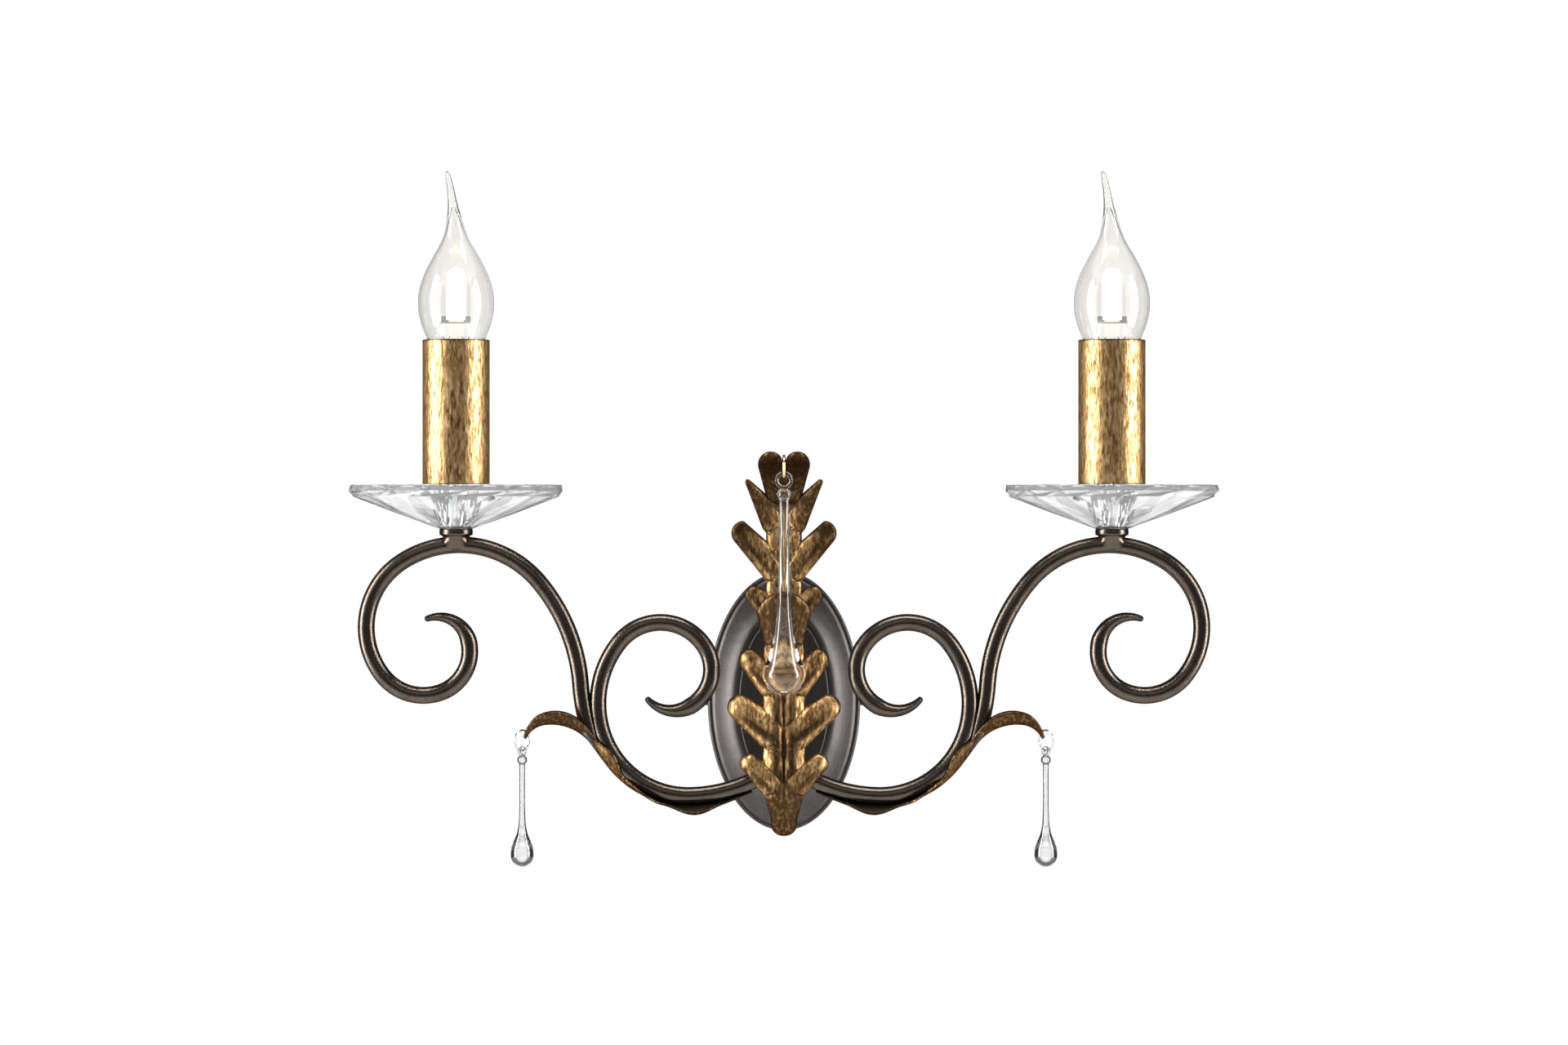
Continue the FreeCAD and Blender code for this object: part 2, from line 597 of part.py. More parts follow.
def oval(half_width, half_height, y):
    """Upright oval wire of one closed curve that starts at its top."""
    turns = [2 * math.pi * i / OVAL_POINTS for i in range(OVAL_POINTS)]
    curve = Part.BSplineCurve()
    curve.interpolate(Points=[V(half_width * math.sin(a), y, half_height * math.cos(a)) for a in turns],
                      PeriodicFlag=True)
    return Part.Wire([curve.toShape()])


def plate_sections(inset, shift):
    """Skirt, rim and cove sections of the plate, each half width, half height and y."""
    wide, tall = size("plate_half_width") - inset, size("plate_half_height") - inset
    edge, rim, step = size("plate_edge"), size("plate_rim"), size("plate_step")
    skirt = size("plate_skirt")
    base = [
        (wide, tall, 0), (wide, tall, edge - skirt + shift), (wide - edge, tall - edge, shift - skirt),
        (wide - rim, tall - rim, shift - skirt), (wide - rim - step, tall - rim - step, shift - skirt - step),
    ]
    flat_wide, flat_tall = size("boss_half_width") - inset, size("boss_half_height") - inset
    start_wide, start_tall, start_y = base[-1]
    cove = []
    for way_in, rise in COVE_SHARES:
        cove.append((start_wide + (flat_wide - start_wide) * way_in,
                     start_tall + (flat_tall - start_tall) * way_in,
                     start_y + (shift - size("plate_depth") - start_y) * rise))
    return base, cove


def plate_block(inset, shift):
    """Solid block of the plate's form, drawn in by the inset and back by the shift."""
    base, cove = plate_sections(inset, shift)
    stack = Part.makeLoft([oval(*section) for section in base], True, True)
    crown = Part.makeLoft([oval(*section) for section in cove], True, False)
    return stack.fuse(crown)


def make_plate():
    """Pressed oval shell with a stepped rim and a cove that rises to a crisp flat oval."""
    wall, over = size("plate_wall"), size("overrun")
    shell = plate_block(0, 0).cut(plate_block(wall, wall))
    depth, drop = size("plate_depth"), size("hub_drop")
    stem_hole = Part.makeCylinder(size("nipple_r") + 2 * size("fit_gap"), wall + 2 * over,
                                  V(0, -depth - over, -drop), V(0, 1, 0))
    half = size("plate_half_width") + over
    side_holes = Part.makeCylinder(size("side_screw_r") + 2 * size("fit_gap"), 2 * half,
                                   V(-half, -size("side_screw_out"), 0), V(1, 0, 0))
    formed("backplate", shell.cut(stem_hole).cut(side_holes))


def make_plate_screws():
    """Two small round-head screws that hold the plate on the bracket's ears."""
    solids = []
    for name, side in SIDES:
        face = V(side * size("plate_half_width"), -size("side_screw_out"), 0)
        inward = V(-side, 0, 0)
        shank = Part.makeCylinder(size("side_screw_r"), size("side_screw_length"), face, inward)
        head = Part.makeCylinder(size("side_screw_head_r"), size("side_screw_head"), face, inward * -1)
        rim = [e for e in head.Edges if abs(e.CenterOfMass.x) > size("plate_half_width") + size("side_screw_head") / 2]
        round_edge = [e for e in rim if e.Curve.TypeId == "Part::GeomCircle"]
        head = head.makeFillet(size("side_screw_head") / 2, round_edge)
        solids.append(shank.fuse(head))
    formed("backplate_screws", Part.makeCompound(solids))


def make_terminals():
    """Terminal block on the bracket with three screws, the earth screw and three cores."""
    body = new_body("terminal_block", y="-sizes.strap_thick")
    half, tall = "sizes.block_half_width", "sizes.block_height / 2"
    face = sketch_on(body, "XZ_Plane", "block_face")
    draw_outline(face, [("-" + half, "-" + tall), (half, "-" + tall), (half, tall), ("-" + half, tall)])
    padded(body, face, "block_body", "sizes.block_depth")
    doc.recompute()
    front = min(body.Shape.Faces, key=lambda f: f.CenterOfMass.y)
    index = [f.isSame(front) for f in body.Shape.Faces].index(True) + 1
    wells = body.newObject("Sketcher::SketchObject", "block_wells")
    wells.AttachmentSupport = [(body.Tip, "Face%d" % index)]
    wells.MapMode = "FlatFace"
    for x in ("-sizes.pole_pitch", "0", "sizes.pole_pitch"):
        draw_circle(wells, x, "0", "sizes.pole_hole_r")
    pocketed(body, wells, "block_wells_cut", "sizes.pole_hole_depth")

    front_y = -size("strap_thick") - size("block_depth")
    floor_y = front_y + size("pole_hole_depth")
    screws = []
    for step in (-1, 0, 1):
        foot = V(step * size("pole_pitch"), floor_y, 0)
        screws.append(Part.makeCylinder(size("pole_screw_r"), size("pole_screw_length"), foot, V(0, -1, 0)))
    formed("terminal_screws", Part.makeCompound(screws))

    strap = size("strap_thick")
    shank = Part.makeCylinder(size("earth_r"), strap - size("loose_gap"),
                              V(size("earth_x"), -strap, 0), V(0, 1, 0))
    head = Part.makeCylinder(size("earth_head_r"), size("earth_head"), V(size("earth_x"), -strap, 0), V(0, -1, 0))
    formed("earth_screw", shank.fuse(head))


def rounded_path(points, radius):
    """Straight runs joined by tangent arcs of one radius."""
    edges, here = [], points[0]
    for before, corner, after in zip(points, points[1:], points[2:]):
        into, out = (corner - before).normalize(), (after - corner).normalize()
        turn = into.getAngle(out)
        back = radius * math.tan(turn / 2)
        start, end = corner - into * back, corner + out * back
        inward = (out - into).normalize()
        middle = corner + inward * (radius / math.cos(turn / 2) - radius)
        edges.append(Part.makeLine(here, start))
        edges.append(Part.Arc(start, middle, end).toShape())
        here = end
    edges.append(Part.makeLine(here, points[-1]))
    return edges


def wire_tube(edges, radius):
    """Round tube along edges that are tangent to each other."""
    first = edges[0]
    start, way = first.valueAt(first.FirstParameter), first.tangentAt(first.FirstParameter)
    pipe = Part.BRepOffsetAPI.MakePipeShell(Part.Wire(edges))
    pipe.setFrenetMode(True)
    pipe.add(Part.Wire([Part.Circle(start, way, radius).toShape()]))
    pipe.build()
    pipe.makeSolid()
    return pipe.shape()


def make_cores():
    """Two cores from the block into the hub's threaded tube, and one to the earth screw."""
    out = size("strap_thick") + size("block_depth") / 2
    foot = size("block_height") / 2
    drop, spread, pitch = size("hub_drop"), size("core_spread"), size("pole_pitch")
    inside = size("plate_depth") + size("hub_bore_depth") / 2
    bend = size("core_bend")
    for name, side in (("live_core", -1), ("neutral_core", 1)):
        path = rounded_path([
            V(side * pitch, -out, -foot), V(side * pitch, -out, -foot - bend),
            V(side * spread, -out, -drop + bend), V(side * spread, -out, -drop),
            V(side * spread, -inside, -drop),
        ], bend * 0.5)
        formed(name, wire_tube(path, size("core_r")))
    top = size("earth_head_r") + size("core_r")
    path = rounded_path([
        V(pitch, -out, foot), V(pitch, -out, foot + bend), V(size("earth_x"), -out, foot + bend),
        V(size("earth_x"), -size("strap_thick") - size("core_r"), top + bend / 2),
        V(size("earth_x"), -size("strap_thick") - size("core_r"), top),
    ], bend * 0.4)
    formed("earth_core", wire_tube(path, size("core_r")))


def make_hub():
    """Turned hub with a flange on the plate and a boss that takes the arms, its tube and nut."""
    front, back, edge = "sizes.hub_boss_front", "sizes.hub_boss_back", "sizes.hub_edge"
    plate, flange = "sizes.plate_depth", "sizes.hub_flange"
    bore = "sizes.nipple_r + sizes.fit_gap"
    bore_end = "(sizes.plate_depth + sizes.hub_bore_depth)"
    turned("arm_hub", "XY_Plane", [
        (bore, "-" + plate), ("sizes.hub_flange_r", "-" + plate),
        ("sizes.hub_flange_r", "-%s - %s + %s" % (plate, flange, edge)),
        ("sizes.hub_flange_r - " + edge, "-%s - %s" % (plate, flange)),
        ("sizes.hub_stem_r", "-%s - %s" % (plate, flange)), ("sizes.hub_stem_r", "-" + back),
        ("sizes.hub_boss_r - " + edge, "-" + back), ("sizes.hub_boss_r", "-%s - %s" % (back, edge)),
        ("sizes.hub_boss_r", "-%s + %s" % (front, edge)), ("sizes.hub_boss_r - " + edge, "-" + front),
        ("0", "-" + front), ("0", "-" + bore_end), (bore, "-" + bore_end),
    ], z="-sizes.hub_drop")
    tail = "(sizes.plate_depth - sizes.plate_wall - sizes.nipple_tail)"
    end = "(sizes.plate_depth + sizes.hub_bore_depth - sizes.overrun)"
    turned("hub_nipple", "XY_Plane", [
        ("sizes.nipple_bore_r", "-" + end), ("sizes.nipple_r", "-" + end),
        ("sizes.nipple_r", "-" + tail), ("sizes.nipple_bore_r", "-" + tail),
    ], z="-sizes.hub_drop")
    nut = new_body("hub_nut", y="sizes.plate_wall - sizes.plate_depth + sizes.nut_height",
                   z="-sizes.hub_drop")
    face = sketch_on(nut, "XZ_Plane", "nut_face")
    corners = []
    for i in range(6):
        turn = "%d deg" % (60 * i + 30)
        corners.append(("sizes.nut_flats / 2 / cos(30 deg) * cos(%s)" % turn,
                        "sizes.nut_flats / 2 / cos(30 deg) * sin(%s)" % turn))
    corners[1] = ("0", corners[1][1])
    corners[4] = ("0", corners[4][1])
    draw_outline(face, corners)
    draw_circle(face, "0", "0", "sizes.nipple_r + sizes.fit_gap")
    padded(nut, face, "nut_body", "sizes.nut_height")


# Arms


def inner_radii():
    return [size("inner_r_" + word) for word in ("one", "two", "three", "four", "five", "six")]


def outer_radii():
    return [size("outer_r_" + word) for word in ("one", "two", "three", "four", "five", "six", "seven")]


def make_arms():
    """Scrolled arms, the outer scroll coped onto the inner one, and the collar that stands on it."""
    arm_y = -size("arm_out")
    inner_edges, inner_ends = arc_chain(size("inner_start_x"), size("inner_start_z"), INNER_HEADING,
                                        inner_radii(), INNER_TURNS, arm_y)
    outer_edges, outer_ends = arc_chain(size("outer_start_x"), size("outer_start_z"), OUTER_HEADING,
                                        outer_radii(), OUTER_TURNS, arm_y)
    hub = Part.makeCylinder(size("hub_boss_r"), size("arm_out") + size("hub_boss_front"),
                            V(0, -2 * size("arm_out"), -size("hub_drop")), V(0, 1, 0))
    inner = hammered_tube(inner_edges, inner_ends[-1]).cut(hub)
    inner = max(inner.Solids, key=lambda s: s.Volume)
    outer = hammered_tube(outer_edges, outer_ends[-1]).cut(inner).cut(arm_leaf_shape())
    outer = max(outer.Solids, key=lambda s: s.Volume)
    for name, side in SIDES:
        formed("inner_scroll_" + name, mirrored(inner, side))
        formed("outer_scroll_" + name, mirrored(outer, side))
        formed("pan_collar_" + name, mirrored(collar(outer), side))


def collar(tube):
    """Turned collar with a flared root, coped onto the tube."""
    x, y = size("candle_x"), -size("arm_out")
    top, rim = size("pan_z"), size("collar_rim")
    root_z, neck_r = size("collar_root_z"), size("collar_neck_r")
    rim_foot = top - rim
    neck_foot = (root_z + rim_foot) / 2
    up = V(0, 0, 1)
    disc = Part.makeCylinder(size("collar_r"), rim, V(x, y, rim_foot), up)
    neck = Part.makeCylinder(neck_r, rim_foot - root_z, V(x, y, root_z), up)
    middle = V(x, y, root_z)
    root = Part.Ellipse(middle + V(size("collar_root_r"), 0, 0), middle + V(0, size("tube_r"), 0), middle)
    mouth = Part.Circle(V(x, y, neck_foot + (rim_foot - neck_foot) / 2), up, size("collar_mouth_r"))
    flare = Part.makeLoft([Part.Wire([root.toShape()]), Part.Wire([mouth.toShape()])], True, True)
    well = Part.makeCylinder(size("stud_r") + size("fit_gap"), size("stud_sunk") + size("overrun"),
                             V(x, y, top - size("stud_sunk")), up)
    solid = disc.fuse(neck).fuse(flare).cut(tube).cut(well)
    return max(solid.Solids, key=lambda s: s.CenterOfMass.z)


# Candles


def at_candle(side, above):
    """Placement expressions of a candle piece whose foot is at a height expression."""
    return {"x": "%s sizes.candle_x" % ("-" if side < 0 else "+"), "y": "-sizes.arm_out", "z": above}


def make_candle(name, side):
    """Threaded tube, pan, spacer, seat, holder with its contacts, and sleeve of one candle."""
    place = at_candle(side, "sizes.pan_z")
    foot, top = "-sizes.stud_sunk", "sizes.stud_top"
    turned("candle_stud_" + name, "XZ_Plane", [
        ("sizes.stud_bore_r", foot), ("sizes.stud_r", foot), ("sizes.stud_r", top),
        ("sizes.stud_bore_r", top),
    ], **place)
    middle = V(side * size("candle_x"), -size("arm_out"), size("pan_z"))
    formed("drip_pan_" + name, pan_shape(), middle)
    formed("pan_spacer_" + name, spacer_shape(), middle)
    seat_top = "sizes.pan_height"
    seat_foot = "sizes.pan_height - sizes.seat_thick"
    hole = "sizes.stud_r + sizes.fit_gap"
    turned("sleeve_seat_" + name, "XZ_Plane", [
        (hole, seat_foot), ("sizes.seat_r", seat_foot), ("sizes.seat_r", seat_top), (hole, seat_top),
    ], **place)
    place = at_candle(side, "sizes.pan_z + sizes.pan_height")
    stud_end = "(sizes.stud_top - sizes.pan_height + sizes.loose_gap)"
    turned("lamp_holder_" + name, "XZ_Plane", [
        (hole, "0"), ("sizes.holder_r", "0"), ("sizes.holder_r", "sizes.holder_height"),
        ("sizes.holder_bore_r", "sizes.holder_height"), ("sizes.holder_bore_r", "sizes.holder_floor"),
        ("0", "sizes.holder_floor"), ("0", stud_end), (hole, stud_end),
    ], **place)
    bore = "sizes.cap_r + sizes.loose_gap"
    shell = bore + " + sizes.socket_wall"
    shell_top = "sizes.holder_height - sizes.overrun"
    shell_foot = "(sizes.holder_height - sizes.overrun - sizes.socket_height)"
    lip_r = "sizes.holder_bore_r - sizes.fit_gap"
    lip_foot = shell_top + " - sizes.socket_lip"
    turned("socket_shell_" + name, "XZ_Plane", [
        (bore, shell_foot), (shell, shell_foot), (shell, lip_foot), (lip_r, lip_foot), (lip_r, shell_top),
        (bore, shell_top),
    ], **place)
    head_top = "(sizes.holder_height - sizes.cap_sunk - sizes.loose_gap)"
    head_foot = head_top + " - sizes.spring_head"
    turned("centre_contact_" + name, "XZ_Plane", [
        ("0", "sizes.holder_floor"), ("sizes.spring_r", "sizes.holder_floor"),
        ("sizes.spring_r", head_foot), ("sizes.spring_head_r", head_foot),
        ("sizes.spring_head_r", head_top), ("0", head_top),
    ], **place)
    sleeve_top = "sizes.holder_height + sizes.sleeve_above"
    turned("candle_sleeve_" + name, "XZ_Plane", [
        ("sizes.sleeve_r - sizes.sleeve_wall", "0"), ("sizes.sleeve_r", "0"),
        ("sizes.sleeve_r", sleeve_top), ("sizes.sleeve_r - sizes.sleeve_wall", sleeve_top),
    ], **place)


PAN_SIDES = 16
SPACER_SIDES = 24
# Pan rings: share of the radius, share of the height, phase. The last two close the middle.
PAN_RING_SHARES = ((0.15, 0, 0), (0.58, 0.38, 0.5), (0.955, 0.73, 0), (1, 0.86, 0.5),
                   (0.985, 1, 0), (0.925, 0.95, 0.5), (0.27, 0.27, 0))
SPACER_FLUTE_SHARE = 0.13


def pan_shape():
    """Cut-glass pan: a shallow dish of flat facets with a bevelled rim and a bore in its middle."""
    radius, height, floor = size("pan_r"), size("pan_height"), size("pan_floor")
    bore = size("stud_r") + size("loose_gap")
    rings = [(radius * r, height * z, phase, 0) for r, z, phase in PAN_RING_SHARES]
    rings += [(size("spacer_foot_r") + size("loose_gap"), floor, 0.5, 0), (bore, floor, 0, 0), (bore, 0, 0.5, 0)]
    return faceted(rings, PAN_SIDES)


def spacer_shape():
    """Fluted glass cone that stands in the pan and carries the sleeve's seat."""
    foot, top = size("pan_floor"), size("pan_height") - size("seat_thick")
    bore = size("stud_r") + size("loose_gap")
    flute = SPACER_FLUTE_SHARE
    return faceted([(size("spacer_foot_r"), foot, 0, flute), (size("spacer_top_r"), top, 0, flute),
                    (bore, top, 0, 0), (bore, foot, 0, 0)], SPACER_SIDES)


# Bulbs


def make_bulb(name, side):
    """Flame-tip bulb: cap, contact, glass, inner mount, capsule and lead wires."""
    place = at_candle(side, "sizes.pan_z + sizes.pan_height + sizes.holder_height - sizes.cap_sunk")
    wall, cone = "sizes.cap_wall", "(sizes.cap_contact + sizes.cap_cone)"
    radius, contact_r = "sizes.cap_r", "sizes.cap_contact_r"
    turned("bulb_cap_" + name, "XZ_Plane", [
        (contact_r, "sizes.cap_contact"), (radius, cone), (radius, "sizes.cap_height"),
        ("%s - %s" % (radius, wall), "sizes.cap_height"), ("%s - %s" % (radius, wall), "%s + %s" % (cone, wall)),
        (contact_r, "sizes.cap_contact + " + wall),
    ], **place)
    turned("bulb_contact_" + name, "XZ_Plane", [
        ("0", "0"), (contact_r + " / 2", "0"), (contact_r + " - sizes.fit_gap", "sizes.cap_contact / 2"),
        (contact_r + " - sizes.fit_gap", "sizes.cap_contact + " + wall), ("0", "sizes.cap_contact + " + wall),
    ], **place)
    foot = size("pan_z") + size("pan_height") + size("holder_height") - size("bulb_sunk")
    place = V(side * size("candle_x"), -size("arm_out"), foot)
    stem_top = size("bulb_wall") + size("stem_height")
    capsule_foot = stem_top + size("capsule_r") * 2
    formed("bulb_glass_" + name, bulb_glass(), place)
    formed("bulb_stem_" + name, bulb_stem(), place)
    formed("bulb_capsule_" + name, bulb_capsule(capsule_foot), place)
    formed("bulb_leads_" + name, bulb_leads(stem_top, capsule_foot), place)


def bulb_glass():
    """Thin blown glass: outer skin less inner skin, both lofted through circles that lean at the tip."""
    radius, height, wall = size("bulb_r"), size("bulb_height"), size("bulb_wall")

    def skin(inset, last, below):
        wires = []
        for up, out in BULB_SHARES[:last]:
            middle = V(between(BULB_LEAN_SHARES, up) * radius, 0, up * height - below)
            wires.append(Part.Wire([Part.Circle(middle, V(0, 0, 1), out * radius - inset).toShape()]))
            below = 0
        return Part.makeLoft(wires, True, False)

    return skin(0, len(BULB_SHARES), 0).cut(skin(wall, len(BULB_SHARES) - 2, wall))


def bulb_stem():
    """Pressed glass mount with a flare that sits in the neck of the bulb."""
    flare, height = size("stem_r"), size("stem_height")
    thin = size("bulb_wall")
    rod = flare * 0.4
    points = [V(0, 0, 0), V(flare, 0, 0), V(flare, 0, thin), V(rod, 0, flare), V(rod, 0, height - flare),
              V(rod * 0.7, 0, height), V(0, 0, height), V(0, 0, 0)]
    face = Part.Face(Part.makePolygon(points))
    stem = face.revolve(V(0, 0, 0), V(0, 0, 1), 360)
    return stem.translated(V(0, 0, thin))


def bulb_capsule(foot):
    """Small inner capsule with a round top."""
    radius, height = size("capsule_r"), size("capsule_height")
    tube = Part.makeCylinder(radius, height - radius, V(0, 0, foot), V(0, 0, 1))
    dome = Part.makeSphere(radius, V(0, 0, foot + height - radius))
    return tube.fuse(dome).removeSplitter()


def bulb_leads(foot, capsule_foot):
    """Crossed support wires on each side of the mount, and the clips that hold the capsule."""
    radius, clip, reach = size("lead_r"), size("clip_size"), size("capsule_r")
    out = reach + clip / 2 - size("overrun")
    solids = []
    rise = reach + clip / 2
    low = foot - reach
    beside = -radius - size("fit_gap")
    for side in (-1, 1):
        near, far = side * (reach - clip / 2), side * (reach + clip / 2)
        solids.append(round_rod(V(0, 0, low - clip), V(far, 0, low + rise), radius))
        solids.append(round_rod(V(far, beside, low), V(near, beside, low + rise), radius))
        solids.append(round_rod(V(far, 0, low + rise), V(side * out, 0, capsule_foot), radius))
        corner = V(side * out - clip / 2, -clip / 2, capsule_foot - clip / 2)
        solids.append(Part.makeBox(clip, clip, clip, corner))
    bridge = V(-out, 0, capsule_foot - clip / 2 + radius)
    solids.append(round_rod(bridge, bridge + V(2 * out, 0, 0), radius))
    solid = solids[0].multiFuse(solids[1:])
    return solid.cut(bulb_capsule(capsule_foot)).cut(bulb_stem())


# Leaves


def hook_centre():
    """Middle of the centre hook's ring."""
    tip_out = size("upper_leaf_out") + size("upper_leaf_reach")
    return V(0, -tip_out - size("hook_forward"), size("hook_z"))


def make_leaves():
    """Lower and upper leaf on the hub, the upper one pierced for the hook."""
    formed("lower_leaf", leaf(size("lower_leaf_half"), size("lower_leaf_foot"), size("lower_leaf_length"),
                              size("lower_leaf_out"), size("lower_leaf_reach"), size("lower_leaf_crease"),
                              LOWER_LOBE_SHARES, LOWER_SWEEP_SHARES, LOWER_SECTION_SHARES))
    upper = leaf(size("upper_leaf_half"), size("upper_leaf_foot"), size("upper_leaf_length"),
                 size("upper_leaf_out"), size("upper_leaf_reach"), size("upper_leaf_crease"),
                 UPPER_LOBE_SHARES, UPPER_SWEEP_SHARES, UPPER_SECTION_SHARES)
    behind = V(0, size("hook_r"), 0)
    lean = FreeCAD.Rotation(V(1, 0, 0), HOOK_HOLE_TURN)
    spot = hook_centre() + lean.multVec(behind)
    reach = size("hook_r") / 2
    way = FreeCAD.Rotation(V(1, 0, 0), HOOK_HOLE_TURN).multVec(V(0, 0, 1))
    formed("upper_leaf", upper.cut(Part.makeCylinder(size("leaf_hole_r"), 2 * reach, spot - way * reach, way)))


# Where the hook's ring goes through the leaf: degrees up from the ring's back.
HOOK_HOLE_TURN = 24


def arm_leaf_path():
    """Line under the arm tube: two arcs beside the tube, a straight run, an arch and a drooping tip."""
    offset = size("tube_r") + size("arm_leaf_gap")
    radii, first = inner_radii(), INNER_TURNS[0]
    start = INNER_HEADING + ARM_LEAF_SKIP
    centre_x = size("inner_start_x") - radii[0] * math.sin(math.radians(INNER_HEADING))
    centre_z = size("inner_start_z") + radii[0] * math.cos(math.radians(INNER_HEADING))
    big = radii[0] + offset
    x = centre_x + big * math.sin(math.radians(start))
    z = centre_z - big * math.cos(math.radians(start))
    second = ARM_LEAF_LEAVES_AT - INNER_HEADING - first
    pieces = [(big, first - ARM_LEAF_SKIP), (radii[1] + offset, second), (size("arm_leaf_run"), 0),
              (size("arm_leaf_bend"), ARM_LEAF_ARCH_TURN), (size("arm_leaf_tip_bend"), ARM_LEAF_TIP_TURN)]
    return x, z, start, pieces


def along_arm_leaf(share):
    """Point and heading on that line at a share of its length, and the whole length."""
    x, z, heading, pieces = arm_leaf_path()
    lengths = [r * abs(math.radians(t)) if t else r for r, t in pieces]
    left = share * sum(lengths)
    for (radius, turn), length in zip(pieces, lengths):
        part = min(left, length)
        if turn:
            sign = math.copysign(1, turn)
            bent = sign * math.degrees(part / radius)
            x += sign * radius * (math.sin(math.radians(heading + bent)) - math.sin(math.radians(heading)))
            z -= sign * radius * (math.cos(math.radians(heading + bent)) - math.cos(math.radians(heading)))
            heading += bent
        else:
            x += part * math.cos(math.radians(heading))
            z += part * math.sin(math.radians(heading))
        left -= part
        if left <= 0:
            break
    return x, z, heading, sum(lengths)


ARM_LEAF_STEPS = 32
ARM_LEAF_ACROSS = (-1, -0.55, 0, 0.55, 1)


def arm_leaf_width(share):
    """Half width: a plain strip with a round lobe at each place of the table, narrow at both ends."""
    width = size("arm_leaf_half")
    for middle, half in ARM_LOBE_SHARES:
        away = abs(share - middle) / half
        if away < 1:
            width += size("arm_leaf_lobe") * math.cos(away * math.pi / 2) ** 2
    (foot, foot_rise), (tip, tip_rise) = ARM_LEAF_END_SHARES
    ends = min(1, foot + share * foot_rise, tip + (1 - share) * tip_rise)
    return width * ends


def arm_leaf_shape():
    """Gutter-shaped leaf lofted through thin bent sections along its line."""
    wires = []
    for step in range(ARM_LEAF_STEPS + 1):
        share = step / ARM_LEAF_STEPS
        x, z, heading, length = along_arm_leaf(share)
        lift = math.radians(between(ARM_LIFT_SHARES, share))
        width = arm_leaf_width(share)
        up = V(-math.sin(math.radians(heading)), 0, math.cos(math.radians(heading)))
        points = []
        for across in ARM_LEAF_ACROSS:
            flat = across * width
            rise = abs(flat) * math.sin(lift) * abs(across)
            side = flat * math.cos(lift)
            points.append(V(x, -size("arm_out") + side, z) + up * rise)
        below = [point - up * size("leaf_thick") for point in points]
        top, foot = Part.BSplineCurve(), Part.BSplineCurve()
        top.interpolate(points)
        foot.interpolate(below[::-1])
        wires.append(Part.Wire([top.toShape(), Part.makeLine(points[-1], below[-1]),
                                foot.toShape(), Part.makeLine(below[0], points[0])]))
    return Part.makeLoft(wires, True, False)


def arm_leaf_hole():
    """Middle of the hole in the arm leaf's tip, on the right."""
    x, z, heading, length = along_arm_leaf(1)
    share = 1 - size("arm_leaf_hole_in") / length
    x, z, heading, length = along_arm_leaf(share)
    return V(x, -size("arm_out"), z - size("leaf_thick") / 2)


def ring_frame():
    """Middle of the right side ring, and the level direction in its plane."""
    turn = math.radians(size("ring_turn"))
    level = V(math.cos(turn), -math.sin(turn), 0)
    hole = arm_leaf_hole()
    rise = size("leaf_thick") + size("ring_wire_r") + size("loose_gap")
    half_chord = math.sqrt(size("ring_r") ** 2 - (size("ring_r") - rise) ** 2)
    return hole + level * half_chord + V(0, 0, rise - size("ring_r")), level


def make_arm_leaves():
    """A long leaf under each arm, pierced near its tip for the ring."""
    blank = arm_leaf_shape()
    hole = arm_leaf_hole()
    reach = size("ring_r")
    middle, level = ring_frame()
    way = (hole - middle).cross(level.cross(V(0, 0, 1))).normalize()
    drill = Part.makeCylinder(size("arm_leaf_hole_r"), 2 * reach, hole - way * reach, way)
    pierced = blank.cut(drill)
    for name, side in SIDES:
        formed("arm_leaf_" + name, mirrored(pierced, side))


# Hook, rings and drops


def drop_shape(length, ball_r, table, eye_r, eye_wire, eye_normal):
    """Glass drop hanging from the origin's eye: ring, bead, long neck and ball in one piece."""
    neck_top = -eye_r - eye_wire / 2
    body_length = length - eye_r - eye_wire + neck_top
    points = [(ball_r * r, neck_top - z * body_length) for z, r in table]
    foot = eye_r + eye_wire - length
    middle = foot + ball_r
    for degrees in (0, 30, 60, 80, 90):
        angle = math.radians(degrees)
        points.append((ball_r * math.cos(angle), middle - ball_r * math.sin(angle)))
    points[-1] = (0, foot)
    points = [p for i, p in enumerate(points) if i == 0 or p[1] < points[i - 1][1]]
    body = spun_profile(points, 0, 0)
    eye = Part.makeTorus(eye_r, eye_wire, V(0, 0, 0), eye_normal)
    return body.fuse(eye)


def make_hangings():
    """Centre hook and drop, and a ring and a drop at the tip of each arm leaf."""
    centre = hook_centre()
    formed("centre_hook", ring(centre, V(1, 0, 0), size("hook_r"), size("hook_wire_r")))
    drop = drop_shape(size("drop_length"), size("drop_ball_r"), DROP_SHARES, size("drop_eye_r"),
                      size("drop_eye_wire"), V(0, 1, 0))
    hang = size("hook_wire_r") + size("drop_eye_wire") + size("loose_gap") - size("drop_eye_r")
    formed("centre_drop", drop, centre + V(0, 0, hang - size("hook_r")))
    middle, level = ring_frame()
    normal = level.cross(V(0, 0, 1))
    loop = ring(middle, normal, size("ring_r"), size("ring_wire_r"))
    pendant = drop_shape(size("side_drop_length"), size("side_ball_r"), SIDE_DROP_SHARES,
                         size("side_eye_r"), size("side_eye_wire"), level)
    hang = size("ring_wire_r") + size("side_eye_wire") + size("loose_gap") - size("side_eye_r")
    hung = middle + V(0, 0, hang - size("ring_r"))
    for name, side in SIDES:
        formed("side_ring_" + name, mirrored(loop, side))
        formed("side_drop_" + name, mirrored(pendant, side), V(side * hung.x, hung.y, hung.z))


make_bracket()
make_plate()
make_plate_screws()
make_terminals()
make_cores()
make_hub()
make_arms()
for side_name, side_sign in SIDES:
    make_candle(side_name, side_sign)
    make_bulb(side_name, side_sign)
make_leaves()
make_arm_leaves()
make_hangings()

